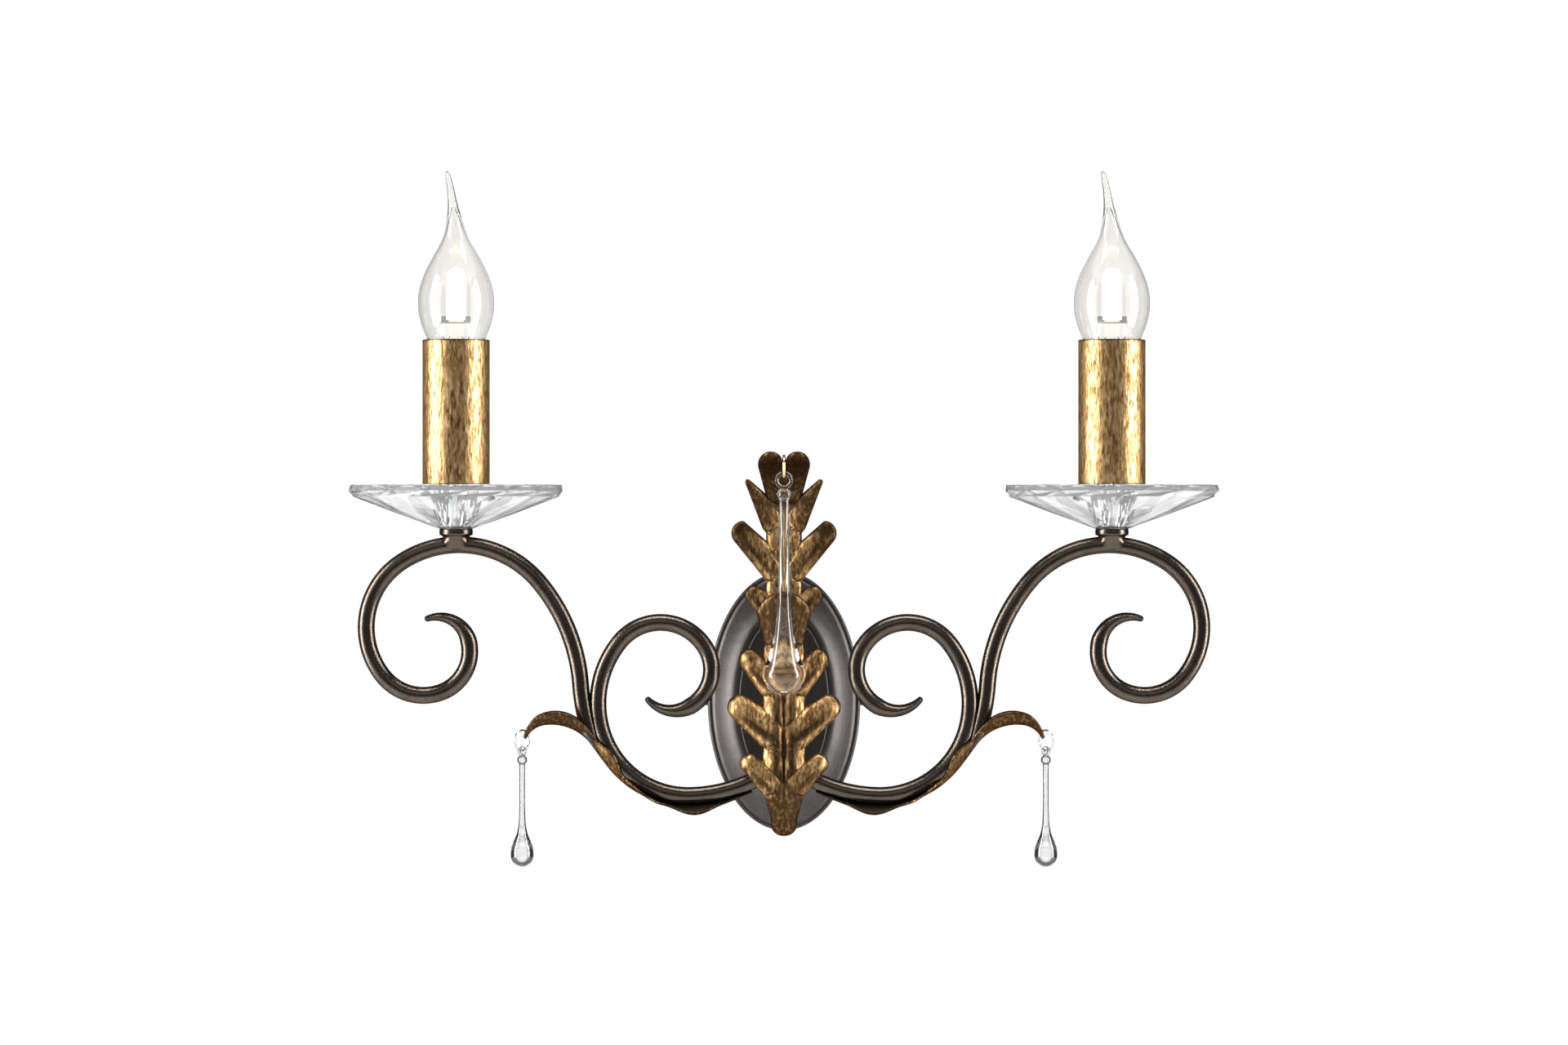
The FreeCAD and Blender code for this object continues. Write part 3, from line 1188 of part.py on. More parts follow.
doc.recompute()
for item in doc.Objects:
    if "Invalid" in item.State or "Error" in item.State:
        raise RuntimeError("%s did not build: %s" % (item.Label, item.State))
for piece in PIECES:
    if piece.Shape.isNull() or not piece.Shape.isValid():
        raise RuntimeError("%s has no valid shape" % piece.Label)

os.makedirs("parts", exist_ok=True)
for piece in PIECES:
    piece.Shape.exportStep(os.path.join("parts", piece.Label + ".step"))
    print("%-24s solids %d  volume %10.1f mm3" % (piece.Label, len(piece.Shape.Solids), piece.Shape.Volume))
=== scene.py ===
import json
import math

import bmesh
import bpy
import numpy as np
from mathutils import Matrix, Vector


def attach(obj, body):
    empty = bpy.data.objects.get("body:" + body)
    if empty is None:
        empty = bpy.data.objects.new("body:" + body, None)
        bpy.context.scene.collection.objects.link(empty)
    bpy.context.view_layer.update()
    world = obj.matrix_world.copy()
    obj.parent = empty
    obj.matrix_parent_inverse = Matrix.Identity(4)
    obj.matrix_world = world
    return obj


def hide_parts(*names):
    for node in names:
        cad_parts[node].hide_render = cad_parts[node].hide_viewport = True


# Dressing of the two-arm candle wall lamp: smooth scrolls, creased leaves, blown bulbs, glass drops,
# the pressed plate, and the finishes. The shapes are worked out in millimetres in the frame of the CAD
# model, and each mesh is set in metres, as are the floor, the lights and the camera.

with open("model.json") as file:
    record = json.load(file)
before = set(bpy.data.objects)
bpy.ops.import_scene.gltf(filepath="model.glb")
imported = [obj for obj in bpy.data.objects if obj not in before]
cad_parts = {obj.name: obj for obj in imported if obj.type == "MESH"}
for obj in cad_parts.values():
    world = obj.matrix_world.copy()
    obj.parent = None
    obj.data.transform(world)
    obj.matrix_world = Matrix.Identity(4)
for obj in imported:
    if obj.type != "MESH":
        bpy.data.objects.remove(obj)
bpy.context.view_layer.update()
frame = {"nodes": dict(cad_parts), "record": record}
MM = 0.001
SIDES = (("left", -1), ("right", 1))
ARM_Y = -75.0
CANDLE_X = 152.7
SHEET = 0.9
BACK = np.array([0, 1.0, 0])
UP = np.array([0, 0, 1.0])
TINY = 1e-12
joined = np.concatenate


# Curves and steps

def rising(value, start, width):
    """Rise from 0 at the start to 1 a width further on."""
    return np.clip((value - start) / width, 0, 1)


def falling(value, end, width):
    """Fall to 0 at the end, from 1 a width before it."""
    return np.clip((end - value) / width, 0, 1)


def ridge(value, middle, width):
    """Bell round a middle: e to minus the square of the distance in widths."""
    return np.exp(-((value - middle) / width) ** 2)


def turns(count):
    return np.linspace(0, math.tau, count, endpoint=False)


def spline(knots, values, at):
    """Curve of cubics through the knots that doesn't overshoot.

    The slope at a knot is the harmonic mean of those beside it, or 0 where their signs differ.
    """
    knots, values = np.asarray(knots, float), np.asarray(values, float)
    gaps, rises = np.diff(knots), np.diff(values)
    slopes = rises / gaps
    inner = np.where(slopes[:-1] * slopes[1:] > 0,
                     2 * slopes[:-1] * slopes[1:] / (slopes[:-1] + slopes[1:] + TINY), 0)
    tangents = joined([[slopes[0]], inner, [slopes[-1]]])
    k = np.clip(np.searchsorted(knots, at) - 1, 0, len(gaps) - 1)
    t = (np.asarray(at) - knots[k]) / gaps[k]
    h00, h10 = 2 * t ** 3 - 3 * t ** 2 + 1, t ** 3 - 2 * t ** 2 + t
    h01, h11 = -2 * t ** 3 + 3 * t ** 2, t ** 3 - t ** 2
    return (h00 * values[k] + h10 * gaps[k] * tangents[k]
            + h01 * values[k + 1] + h11 * gaps[k] * tangents[k + 1])


# Most that a rounded corner takes of each edge.
CORNER_SHARE = 0.4


def rounded(points, radius, steps=5):
    """Line of points with each inner corner a parabola that starts and ends a radius from it."""
    points = [np.asarray(point, float) for point in points]
    line = [points[0]]
    for before, corner, after in zip(points, points[1:], points[2:]):
        u, v = before - corner, after - corner
        r = min(radius, CORNER_SHARE * np.linalg.norm(u), CORNER_SHARE * np.linalg.norm(v))
        u, v = u / np.linalg.norm(u) * r, v / np.linalg.norm(v) * r
        for t in np.linspace(0, 1, steps):
            line.append((1 - t) ** 2 * (corner + u) + 2 * t * (1 - t) * corner + t ** 2 * (corner + v))
    line.append(points[-1])
    return np.array(line)


# Meshes

def in_scene(name, data):
    obj = bpy.data.objects.new(name, data)
    bpy.context.scene.collection.objects.link(obj)
    return obj


# Points this near are one point, and edges this short go, in metres.
WELD_GAP, SLIVER = 0.000002, 0.000001


def grid_faces(rows, cols, wrap_rows, wrap_cols):
    """Quads of a grid, each a point, the next in its row and the two below, wrapped where asked."""
    i = np.arange(rows if wrap_rows else rows - 1)[:, None]
    j = np.arange(cols if wrap_cols else cols - 1)[None, :]
    down, right = (i + 1) % rows, (j + 1) % cols
    corners = [i * cols + j, i * cols + right, down * cols + right, down * cols + j]
    return np.stack(corners, axis=-1).reshape(-1, 4)


def running_length(points, axis):
    """Length to each line of a grid: the mean distances between neighbours, added up."""
    steps = np.linalg.norm(np.diff(points, axis=axis), axis=2).mean(axis=1 - axis)
    return joined([[0], np.cumsum(steps)])


def piece(name, parts, body, slot, stands_for, material=None, fields=None):
    """Object of grids in millimetres, each its points, wrap of the rows and wrap of the columns.

    Its UV map holds the running lengths in metres. A field gives one value per point. The material is
    the slot's own unless one is given.
    """
    verts, faces, uvs, base = [], [], [], 0
    for points, wrap_rows, wrap_cols in parts:
        rows, cols = points.shape[:2]
        verts.append(points.reshape(-1, 3))
        faces.append(grid_faces(rows, cols, wrap_rows, wrap_cols) + base)
        down, across = running_length(points, 0), running_length(points, 1)
        uvs.append(np.stack(np.broadcast_arrays(down[:, None], across[None, :]), axis=-1).reshape(-1, 2))
        base += rows * cols
    mesh = bpy.data.meshes.new(name)
    mesh.from_pydata((joined(verts) * MM).tolist(), [], joined(faces).tolist())
    layer = mesh.uv_layers.new(name="UVMap")
    loops = np.empty(len(mesh.loops), dtype=np.int64)
    mesh.loops.foreach_get("vertex_index", loops)
    layer.data.foreach_set("uv", (joined(uvs) * MM)[loops].astype(np.float32).ravel())
    for key, values in (fields or {}).items():
        attribute = mesh.attributes.new(key, "FLOAT", "POINT")
        attribute.data.foreach_set("value", values.astype(np.float32).ravel())
    mesh.polygons.foreach_set("use_smooth", np.full(len(mesh.polygons), True))
    mesh.update()
    obj = in_scene(name, mesh)
    weld_and_orient(obj)
    material = material or BY_SLOT[slot]
    obj.data.materials.append(material)
    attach(obj, body)
    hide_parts(*stands_for)
    if material in SHADOWLESS:
        obj.visible_shadow = False


def weld_and_orient(obj):
    """Merges points that poles and seams have twice, drops slivers and turns the faces outward."""
    bm = bmesh.new()
    bm.from_mesh(obj.data)
    bmesh.ops.remove_doubles(bm, verts=bm.verts, dist=WELD_GAP)
    bmesh.ops.dissolve_degenerate(bm, dist=SLIVER, edges=bm.edges)
    bmesh.ops.recalc_face_normals(bm, faces=bm.faces)
    bm.to_mesh(obj.data)
    bm.free()


def mirror(points, side):
    """Points as they are on the right, and with the other sign of x on the left."""
    return points * np.array([side, 1, 1])


def ovals(wide, deep, along, count):
    """Rows of ovals: wide times the cosine and deep times the sine of the turn, each at its place along."""
    angle = turns(count)
    across = wide[:, None] * np.cos(angle)
    return across, deep[:, None] * np.sin(angle), np.broadcast_to(along[:, None], across.shape)


def revolve(profile, centre, count=64, lean=0.0):
    """Grid of a radius and height profile spun round an upright axis, with each ring moved by its lean."""
    radius, height = np.asarray(profile, float).T
    grid = np.stack(ovals(radius, radius, height, count), axis=-1) + np.asarray(centre, float)
    grid[..., 0] += np.reshape(lean, (-1, 1))
    return grid


def tube(line, thin, wide, across, beside, count):
    """Ring round each point of a line: thin times the cosine across it, wide times the sine beside it."""
    side = turns(count)
    return (line[:, None, :] + (thin[:, None] * np.cos(side))[..., None] * across[:, None, :]
            + (wide[:, None] * np.sin(side))[..., None] * beside)


def wire_ring(middle, normal, radius, wire, around=72, across=20, arc=None):
    """Grid of a wire ring with a level normal, or of an arc in degrees with closed ends.

    It is a tube whose line is the radius times the cosine and the sine of the turn.
    """
    normal = np.asarray(normal, float) / np.linalg.norm(normal)
    first = np.cross(normal, UP)
    first /= np.linalg.norm(first)
    second = np.cross(normal, first)
    if arc is None:
        turn = turns(around)
        thick = np.full(around, wire)
    else:
        turn = np.linspace(*np.radians(arc), around)
        turn = joined([[turn[0]], turn, [turn[-1]]])
        thick = joined([[0], np.full(around, wire), [0]])
    out = np.cos(turn)[:, None] * first + np.sin(turn)[:, None] * second
    return tube(np.asarray(middle) + radius * out, thick, thick, out, normal, across), arc is None, True


# Materials

def new_material(name):
    material = bpy.data.materials.new(name)
    material.use_nodes = True
    tree = material.node_tree
    return material, tree, tree.nodes["Principled BSDF"]


def feed(tree, socket, value):
    """Gives an input a link from a socket, or a plain number, vector or colour."""
    if isinstance(value, bpy.types.NodeSocket):
        tree.links.new(value, socket)
    else:
        socket.default_value = (*value, 1) if socket.type == "RGBA" else value


def set_inputs(tree, node, **values):
    """Feeds a node's inputs by name, with underscores for spaces."""
    for key, value in values.items():
        feed(tree, node.inputs[key.replace("_", " ")], value)


def reckoned(tree, operation, *terms):
    """Result of one operation on links and numbers."""
    made = tree.nodes.new("ShaderNodeMath")
    made.operation = operation
    for socket, term in zip(made.inputs, terms):
        feed(tree, socket, term)
    return made.outputs[0]


def ramp(tree, source, stops):
    """Colour that goes straight from stop to stop, each a position and a colour or a grey."""
    made = tree.nodes.new("ShaderNodeValToRGB")
    elements = made.color_ramp.elements
    while len(elements) < len(stops):
        elements.new(0.5)
    for element, (position, colour) in zip(elements, stops):
        element.position = position
        element.color = (*colour, 1) if isinstance(colour, tuple) else (colour, colour, colour, 1)
    tree.links.new(source, made.inputs["Fac"])
    return made.outputs["Color"]


def blend(tree, mask, first, second):
    """First colour where the mask is 0, second where it is 1, and their mix between."""
    mix = tree.nodes.new("ShaderNodeMix")
    mix.data_type = "RGBA"
    feed(tree, mix.inputs["Factor"], mask)
    for label, colour in (("A", first), ("B", second)):
        feed(tree, next(s for s in mix.inputs if s.name == label and s.type == "RGBA"), colour)
    return next(s for s in mix.outputs if s.type == "RGBA")


def bump(tree, shader, height, strength, distance):
    """Tilts the normal as if the surface rose by the height times the distance."""
    made = tree.nodes.new("ShaderNodeBump")
    set_inputs(tree, made, Height=height, Strength=strength, Distance=distance)
    tree.links.new(made.outputs["Normal"], shader.inputs["Normal"])


def object_space(tree):
    return tree.nodes.new("ShaderNodeTexCoord").outputs["Object"]


def new_group(name, inputs, outputs):
    """Empty node group with named sockets, and the sockets of its input and output nodes."""
    group = bpy.data.node_groups.new(name, "ShaderNodeTree")
    for label, kind, value in inputs:
        socket = group.interface.new_socket(name=label, in_out="INPUT", socket_type=kind)
        if value is not None:
            socket.default_value = value
    for label, kind in outputs:
        group.interface.new_socket(name=label, in_out="OUTPUT", socket_type=kind)
    return group, group.nodes.new("NodeGroupInput").outputs, group.nodes.new("NodeGroupOutput").inputs


def placed(tree, group, **values):
    """Outputs of a node group set into a material with its own values."""
    made = tree.nodes.new("ShaderNodeGroup")
    made.node_tree = group
    set_inputs(tree, made, **values)
    return made.outputs


def noise_in(tree, vector, scale, detail, roughness, turn=None, stretch=None):
    """Noise of ever finer octaves. A turn and a stretch of the place give it a direction."""
    if turn is not None:
        mapping = tree.nodes.new("ShaderNodeMapping")
        set_inputs(tree, mapping, Vector=vector, Rotation=turn, Scale=stretch)
        vector = mapping.outputs["Vector"]
    noise = tree.nodes.new("ShaderNodeTexNoise")
    set_inputs(tree, noise, Vector=vector, Scale=scale, Detail=detail, Roughness=roughness)
    return noise.outputs["Fac"]


def grain_group():
    """Mask of small irregular grain: how far a noise is from a low mark to a high one."""
    group, given, out = new_group("grain", [
        ("Vector", "NodeSocketVector", None), ("Scale", "NodeSocketFloat", 1000),
        ("Detail", "NodeSocketFloat", 2), ("Low", "NodeSocketFloat", 0.3), ("High", "NodeSocketFloat", 0.7),
    ], [("Mask", "NodeSocketFloat")])
    spread = group.nodes.new("ShaderNodeMapRange")
    noise = noise_in(group, given["Vector"], given["Scale"], given["Detail"], 0.55)
    set_inputs(group, spread, Value=noise, From_Min=given["Low"], From_Max=given["High"])
    group.links.new(spread.outputs["Result"], out["Mask"])
    return group


# Gold over the value of the brush marks, for the main marks and for those across them.
MAIN_GOLDS = ((0.34, (0.10, 0.05, 0.019)), (0.43, (0.34, 0.195, 0.08)), (0.53, (0.62, 0.415, 0.195)),
              (0.67, (0.90, 0.71, 0.44)))
CROSS_GOLDS = ((0.35, (0.13, 0.065, 0.025)), (0.47, (0.46, 0.285, 0.12)), (0.63, (0.82, 0.61, 0.34)))
# Turns of both sets of marks in radians, then detail and roughness of the marks and of the clouds.
MARK_TURNS = ((0, 0.35, 0.1), (0.1, -0.75, 0))
MARKS, CLOUD_SCALE, CLOUDS = (5, 0.66), 85, (4, 0.6)


def gilding_group():
    """Gold leaf on brown: two sets of crossing brush marks that take turns in slow clouds."""
    group, given, out = new_group("gilding", [
        ("Vector", "NodeSocketVector", None), ("Scale", "NodeSocketFloat", 500),
        ("Stretch", "NodeSocketVector", (1, 1, 1)), ("Tone", "NodeSocketFloat", 0),
    ], [("Color", "NodeSocketColor"), ("Marks", "NodeSocketFloat"), ("Cloud", "NodeSocketFloat")])
    vector = given["Vector"]
    marks, cross = (
        reckoned(group, "ADD", noise_in(group, vector, given["Scale"], *MARKS, turn, given["Stretch"]),
                 given["Tone"])
        for turn in MARK_TURNS)
    cloud = noise_in(group, vector, CLOUD_SCALE, *CLOUDS)
    crossed = ramp(group, cloud, ((0.42, 0), (0.62, 1)))
    colour = blend(group, crossed, ramp(group, marks, MAIN_GOLDS), ramp(group, cross, CROSS_GOLDS))
    group.links.new(colour, out["Color"])
    group.links.new(marks, out["Marks"])
    group.links.new(cloud, out["Cloud"])
    return group


GRAIN = grain_group()
GILDING = gilding_group()


def grain_and_patches(tree, fine, slow):
    """Masks of the fine grain and of the slow patches, each set by its scale and detail."""
    space = object_space(tree)
    return [placed(tree, GRAIN, Vector=space, Scale=scale, Detail=detail, Low=low, High=high)["Mask"]
            for (scale, detail), low, high in ((fine, 0.3, 0.7), (slow, 0.4, 0.75))]


def bronze_material(name, dark, light, patch, smooth, rough):
    """Bronze lacquer: fine grain from dark and smooth to light and rough, and patches of a third colour."""
    material, tree, shader = new_material(name)
    grain, patches = grain_and_patches(tree, (2600, 2), (90, 3))
    set_inputs(tree, shader, Metallic=0.9, Specular_Tint=(0.1, 0.09, 0.085),
               Base_Color=blend(tree, patches, ramp(tree, grain, ((0, dark), (1, light))), patch),
               Roughness=ramp(tree, grain, ((0, smooth), (1, rough))))
    bump(tree, shader, grain, strength=0.12, distance=0.0004)
    return material


# Browns under the gold in dark and pale marks, and the near black of the deepest painted shadow.
MARK_BROWNS = ((0.045, 0.024, 0.011), (0.25, 0.15, 0.065))
PAINTED_SHADOW_BLACK = (0.02, 0.014, 0.009)
CLOUD_WEIGHT = 0.5


def gold_material(name, scale, stretch, tone):
    """Antique gold: brush marks over brown, darkened by the painted shade and shadow that the surface's shade
    value holds.

    Shade plus half the cloud takes gold at 0.45 to brown at 1, and brown at 1.35 to near black
    at 1.85.
    """
    material, tree, shader = new_material(name)
    gilding = placed(tree, GILDING, Vector=object_space(tree), Scale=scale, Stretch=stretch, Tone=tone)
    # The shade attribute holds painted shade on the leaves (parts facing down, furrows, creases, shadow under
    # the tube) and a brown band at the sleeves' ends.
    shade = tree.nodes.new("ShaderNodeAttribute")
    shade.attribute_name = "shade"
    dark = reckoned(tree, "MULTIPLY_ADD", gilding["Cloud"], CLOUD_WEIGHT, shade.outputs["Fac"])
    brown = blend(tree, ramp(tree, gilding["Marks"], ((0.4, 0), (0.72, 1))), *MARK_BROWNS)
    colour = blend(tree, ramp(tree, dark, ((0.45, 0), (1.0, 1))), gilding["Color"], brown)
    past_brown = reckoned(tree, "SUBTRACT", dark, 1.0)
    colour = blend(tree, ramp(tree, past_brown, ((0.35, 0), (0.85, 1))), colour, PAINTED_SHADOW_BLACK)
    set_inputs(tree, shader, Base_Color=colour, Metallic=0.92, Specular_Tint=(0.3, 0.22, 0.13),
               Roughness=ramp(tree, gilding["Marks"], ((0.3, 0.42), (0.7, 0.25))))
    bump(tree, shader, gilding["Marks"], strength=0.35, distance=0.0005)
    return material


def plain_material(name, colour, roughness, **extra):
    """One even finish with the given values of the shader."""
    material, tree, shader = new_material(name)
    set_inputs(tree, shader, Base_Color=colour, Metallic=0.0, Roughness=roughness, **extra)
    return material


# Painted shade of the small drops as their surface turns away: clear, a painted dark band inside the outline,
# paler at it.
DROP_PAINTED_OUTLINE = ((0, (0.95, 0.96, 0.965)), (0.08, (0.88, 0.89, 0.895)), (0.2, (0.06, 0.06, 0.062)),
             (0.52, (0.02, 0.02, 0.021)), (0.72, (0.6, 0.6, 0.61)))


def banded_glass(name, ior):
    """Clear glass with a painted dark band just inside its outline, for the dark surroundings it would
    refract, by how far the surface turns away.
    """
    material, tree, shader = new_material(name)
    weight = tree.nodes.new("ShaderNodeLayerWeight")
    weight.inputs["Blend"].default_value = 0.5
    set_inputs(tree, shader, Base_Color=ramp(tree, weight.outputs["Facing"], DROP_PAINTED_OUTLINE), Roughness=0.0,
               Transmission_Weight=1.0, IOR=ior)
    return material


# Darkness of a worked surface's patches, and the swing of its roughness.
PATCH_SHARE = 0.78
SMOOTHER, ROUGHER = 0.85, 1.2


def grained_material(name, colour, metallic, roughness):
    """Worked surface: a fine grain in its gloss and height, and patches that are a little darker."""
    material, tree, shader = new_material(name)
    grain, patches = grain_and_patches(tree, (1700, 3), (180, 2))
    darker = tuple(PATCH_SHARE * part for part in colour)
    set_inputs(tree, shader, Base_Color=blend(tree, patches, colour, darker), Metallic=metallic,
               Roughness=ramp(tree, grain, ((0, SMOOTHER * roughness), (1, ROUGHER * roughness))))
    bump(tree, shader, grain, strength=0.06, distance=0.0002)
    return material


BRONZE = bronze_material("dark_bronze", dark=(0.045, 0.035, 0.028), light=(0.14, 0.115, 0.095),
                         patch=(0.066, 0.052, 0.041), smooth=0.1, rough=0.18)
PLATE_BRONZE = bronze_material("satin_bronze", dark=(0.034, 0.03, 0.029), light=(0.1, 0.093, 0.09),
                               patch=(0.055, 0.051, 0.049), smooth=0.32, rough=0.42)
GOLD = gold_material("antique_gold", scale=520, stretch=(1.6, 1.6, 0.35), tone=-0.05)
LEAF_GOLD = gold_material("antique_gold_leaf", scale=480, stretch=(1.5, 1, 0.5), tone=-0.09)
GLASS = plain_material("clear_glass", (0.955, 0.962, 0.965), 0.0, Transmission_Weight=1.0, IOR=1.5)
PAN_GLASS = plain_material("clear_glass_pan", (0.93, 0.94, 0.935), 0.0, Transmission_Weight=0.92, IOR=1.36)
SMALL_GLASS = banded_glass("clear_glass_small", 1.6)
BULB_GLASS = plain_material("bulb_glass", (0.958, 0.95, 0.925), 0.0, Transmission_Weight=1.0, IOR=1.45)
STEM_GLASS = plain_material("stem_glass", (0.98, 0.86, 0.56), 0.0, Transmission_Weight=1.0, IOR=1.3)
CAPSULE = plain_material("capsule_white", (1.0, 0.95, 0.84), 0.4, Emission_Color=(1.0, 0.86, 0.6),
                         Emission_Strength=1.1)
# Slot, colour, metallic and roughness of the worked surfaces.
WORKED = (
    ("gold_wire", (0.80, 0.62, 0.33), 1, 0.22),
    ("silver_wire", (0.42, 0.41, 0.39), 1, 0.14),
    ("steel", (0.60, 0.60, 0.61), 1, 0.34),
    ("nickel", (0.74, 0.73, 0.70), 1, 0.2),
    ("brass_contact", (0.80, 0.60, 0.30), 1, 0.3),
    ("holder_plastic", (0.86, 0.84, 0.78), 0, 0.5),
    ("core_brown", (0.20, 0.09, 0.04), 0, 0.4),
    ("core_blue", (0.05, 0.16, 0.45), 0, 0.4),
    ("core_green", (0.22, 0.42, 0.06), 0, 0.4),
)
BY_SLOT = {"bronze": BRONZE, "antique_gold": GOLD, "clear_glass": GLASS, "bulb_glass": BULB_GLASS,
           "capsule_white": CAPSULE}
BY_SLOT.update((slot, grained_material(slot, *finish)) for slot, *finish in WORKED)
BY_NODE = {node + side: material for side, _ in SIDES
           for node, material in (("drip_pan_", PAN_GLASS), ("bulb_stem_", STEM_GLASS))}
# The glass before other pieces lets the light through to them.
SHADOWLESS = (GLASS, SMALL_GLASS, BULB_GLASS)
for entry in frame["record"]["subparts"]:
    shown = frame["nodes"][entry["node"]]
    shown.data.materials.clear()
    shown.data.materials.append(BY_NODE.get(entry["node"], BY_SLOT[entry["material_slot"]]))


# Scrolls

TUBE_R = 3.95
FLAT_THICK, FLAT_WIDE = 1.4, 4.9
TUBE_STEP, TUBE_SIDES = 0.9, 48
TIP_RINGS, TIP_SHARE, TIP_ROUND = 6, 0.9, 0.35
ROOT_LENGTH = 15.0
# Start and heading, then arcs as radius and turn, with all angles in degrees.
INNER_SCROLL = ((7.8, -30.6, -31.6),
                ((71.3, 30.5), (41.9, 75.7), (45.7, 53.9), (24.5, 109.2), (19.7, 93.1), (15.9, 77.0)))
OUTER_SCROLL = ((86.4, -22.5, 66.0),
                ((100, 19.7), (84, -35.4), (48.7, -83.6), (36.5, -94.5), (24, -73.1), (20.3, -84.1),
                 (14.6, -94.9)))
ARM_LEAF_STRAIGHT, ARM_LEAF_ARCH_R = 13, 24
ARM_LEAF_LINE = ((14.93, -39.08, -23.6),
                 ((75.5, 22.5), (46.1, 54.1), (ARM_LEAF_STRAIGHT, 0), (ARM_LEAF_ARCH_R, -60), (12, -60)))
# Where the arm leaf's straight run starts, and its heading there.
STRAIGHT_START, STRAIGHT_HEADING = np.array([81.9, 0, -27.4]), math.radians(53)
PRESS_DEPTH, PRESS_END, PRESS_FADE = 0.1, 25, 3


def arc_line(start, arcs, step):
    """Points, headings in radians and run lengths along tangent arcs, where a turn of 0 is straight.

    On an arc x gains the radius times the gain of the heading's sine, and z the loss of its cosine.
    """
    x, z, heading = start
    heading = math.radians(heading)
    stores, run = ([], [], [], []), 0.0
    for radius, turn in arcs:
        turn = math.radians(turn)
        length = radius * abs(turn) if turn else radius
        t = np.linspace(0, 1, max(3, int(length / step)))
        h = heading + turn * t
        if turn:
            r = math.copysign(radius, turn)
            px = x + r * (np.sin(h) - math.sin(heading))
            pz = z - r * (np.cos(h) - math.cos(heading))
        else:
            px = x + radius * t * math.cos(heading)
            pz = z + radius * t * math.sin(heading)
        first = 1 if run else 0
        for store, values in zip(stores, (px, pz, h, run + length * t)):
            store.append(values[first:])
        x, z, heading, run = px[-1], pz[-1], h[-1], run + length
    return [joined(store) for store in stores]


def line_frame(x, z, heading):
    """Points in the plane of the arms, and the direction square to the line in that plane."""
    line = np.stack([x, np.full_like(x, ARM_Y), z], axis=-1)
    across = np.stack([-np.sin(heading), 0 * heading, np.cos(heading)], axis=-1)
    return line, across


def scroll_grid(start, arcs, root=0.0):
    """Tube along tangent arcs, round at first and flat over its last arc, with a rounded tip.

    Over the root it grows from half size by the sine of a quarter turn. Over the tip its thin half shrinks
    as a quarter circle does, and its wide half more slowly.
    """
    x, z, heading, run = arc_line(start, arcs, TUBE_STEP)
    last = arcs[-1][0] * abs(math.radians(arcs[-1][1]))
    share = np.clip((run - (run[-1] - last)) / last, 0, 1)
    thin = TUBE_R + (FLAT_THICK - TUBE_R) * share
    wide = TUBE_R + (FLAT_WIDE - TUBE_R) * share
    if root:
        grown = 0.5 + 0.5 * np.sin(np.clip(run / root, 0, 1) * math.pi / 2)
        thin, wide = thin * grown, wide * grown
    tip = np.linspace(0, 1, TIP_RINGS + 1)[1:]
    fall = np.sqrt(1 - tip ** 2)
    reach = FLAT_THICK * tip * TIP_SHARE
    x = joined([x, x[-1] + reach * math.cos(heading[-1])])
    z = joined([z, z[-1] + reach * math.sin(heading[-1])])
    heading = joined([heading, np.full(len(tip), heading[-1])])
    thin = joined([thin, FLAT_THICK * fall])
    wide = joined([wide, FLAT_WIDE * (TIP_ROUND * fall + (1 - TIP_ROUND) * np.sqrt(fall))])
    line, across = line_frame(x, z, heading)
    grid = tube(line, thin, wide, across, BACK, TUBE_SIDES)
    start_cap = np.broadcast_to(line[0], grid[:1].shape)
    grid[-1] = line[-1]
    return joined([start_cap, grid])


def press_on_arm_leaf(grid):
    """Start of the outer scroll pressed flat on the arm leaf's upper side.

    That side is straight, then falls away by the square of the way over twice the radius.
    """
    way = np.array([math.cos(STRAIGHT_HEADING), 0, math.sin(STRAIGHT_HEADING)])
    out = np.array([math.sin(STRAIGHT_HEADING), 0, -math.cos(STRAIGHT_HEADING)])
    away = grid - STRAIGHT_START
    arch = np.clip(away @ way - ARM_LEAF_STRAIGHT, 0, None) ** 2 / (2 * ARM_LEAF_ARCH_R)
    beyond = np.clip(away @ out + PRESS_DEPTH - arch, 0, None)
    return grid - (beyond * falling(away @ way, PRESS_END, PRESS_FADE))[..., None] * out


def make_scrolls():
    """Tubes of the inner and the outer scroll, mirrored on the left."""
    inner = scroll_grid(*INNER_SCROLL)
    outer = press_on_arm_leaf(scroll_grid(*OUTER_SCROLL, ROOT_LENGTH))
    for name, side in SIDES:
        for scroll, grid in (("inner_scroll_", inner), ("outer_scroll_", outer)):
            piece(scroll + "smooth_" + name, [(mirror(grid, side), False, True)], "lamp", "bronze",
                  [scroll + name])


# Leaves

# Lobes as two rounded ends: across and radius as shares of the half width, up as a share of the length.
LOWER_LOBES = (
    ((0.23, 0.22, 0.23), (0.63, 0.30, 0.145)), ((0.19, 0.425, 0.30), (0.805, 0.53, 0.195)),
    ((0.235, 0.625, 0.225), (0.62, 0.725, 0.17)), ((0, 0.77, 0.33), (0, 0.8902, 0.484)),
    ((0, 0.22, 0.45), (0, 0.048, 0.21)), ((0, 0.265, 0.35), (0, 0.755, 0.345)),
)
UPPER_LOBES = (
    ((0.105, 0.86, 0.21), (0.26, 0.963, 0.213)), ((0, 0.86, 0.295), (0, 0.942, 0.22)),
    ((0.21, 0.78, 0.275), (0.713, 0.9055, 0.02)), ((0.173, 0.597, 0.22), (0.793, 0.729, 0.213)),
    ((0.143, 0.452, 0.21), (0.578, 0.5135, 0.16)), ((0, 0.464, 0.317), (0, 0.86, 0.316)),
    ((0, 0.038, 0.22), (0, 0.464, 0.3165)),
)
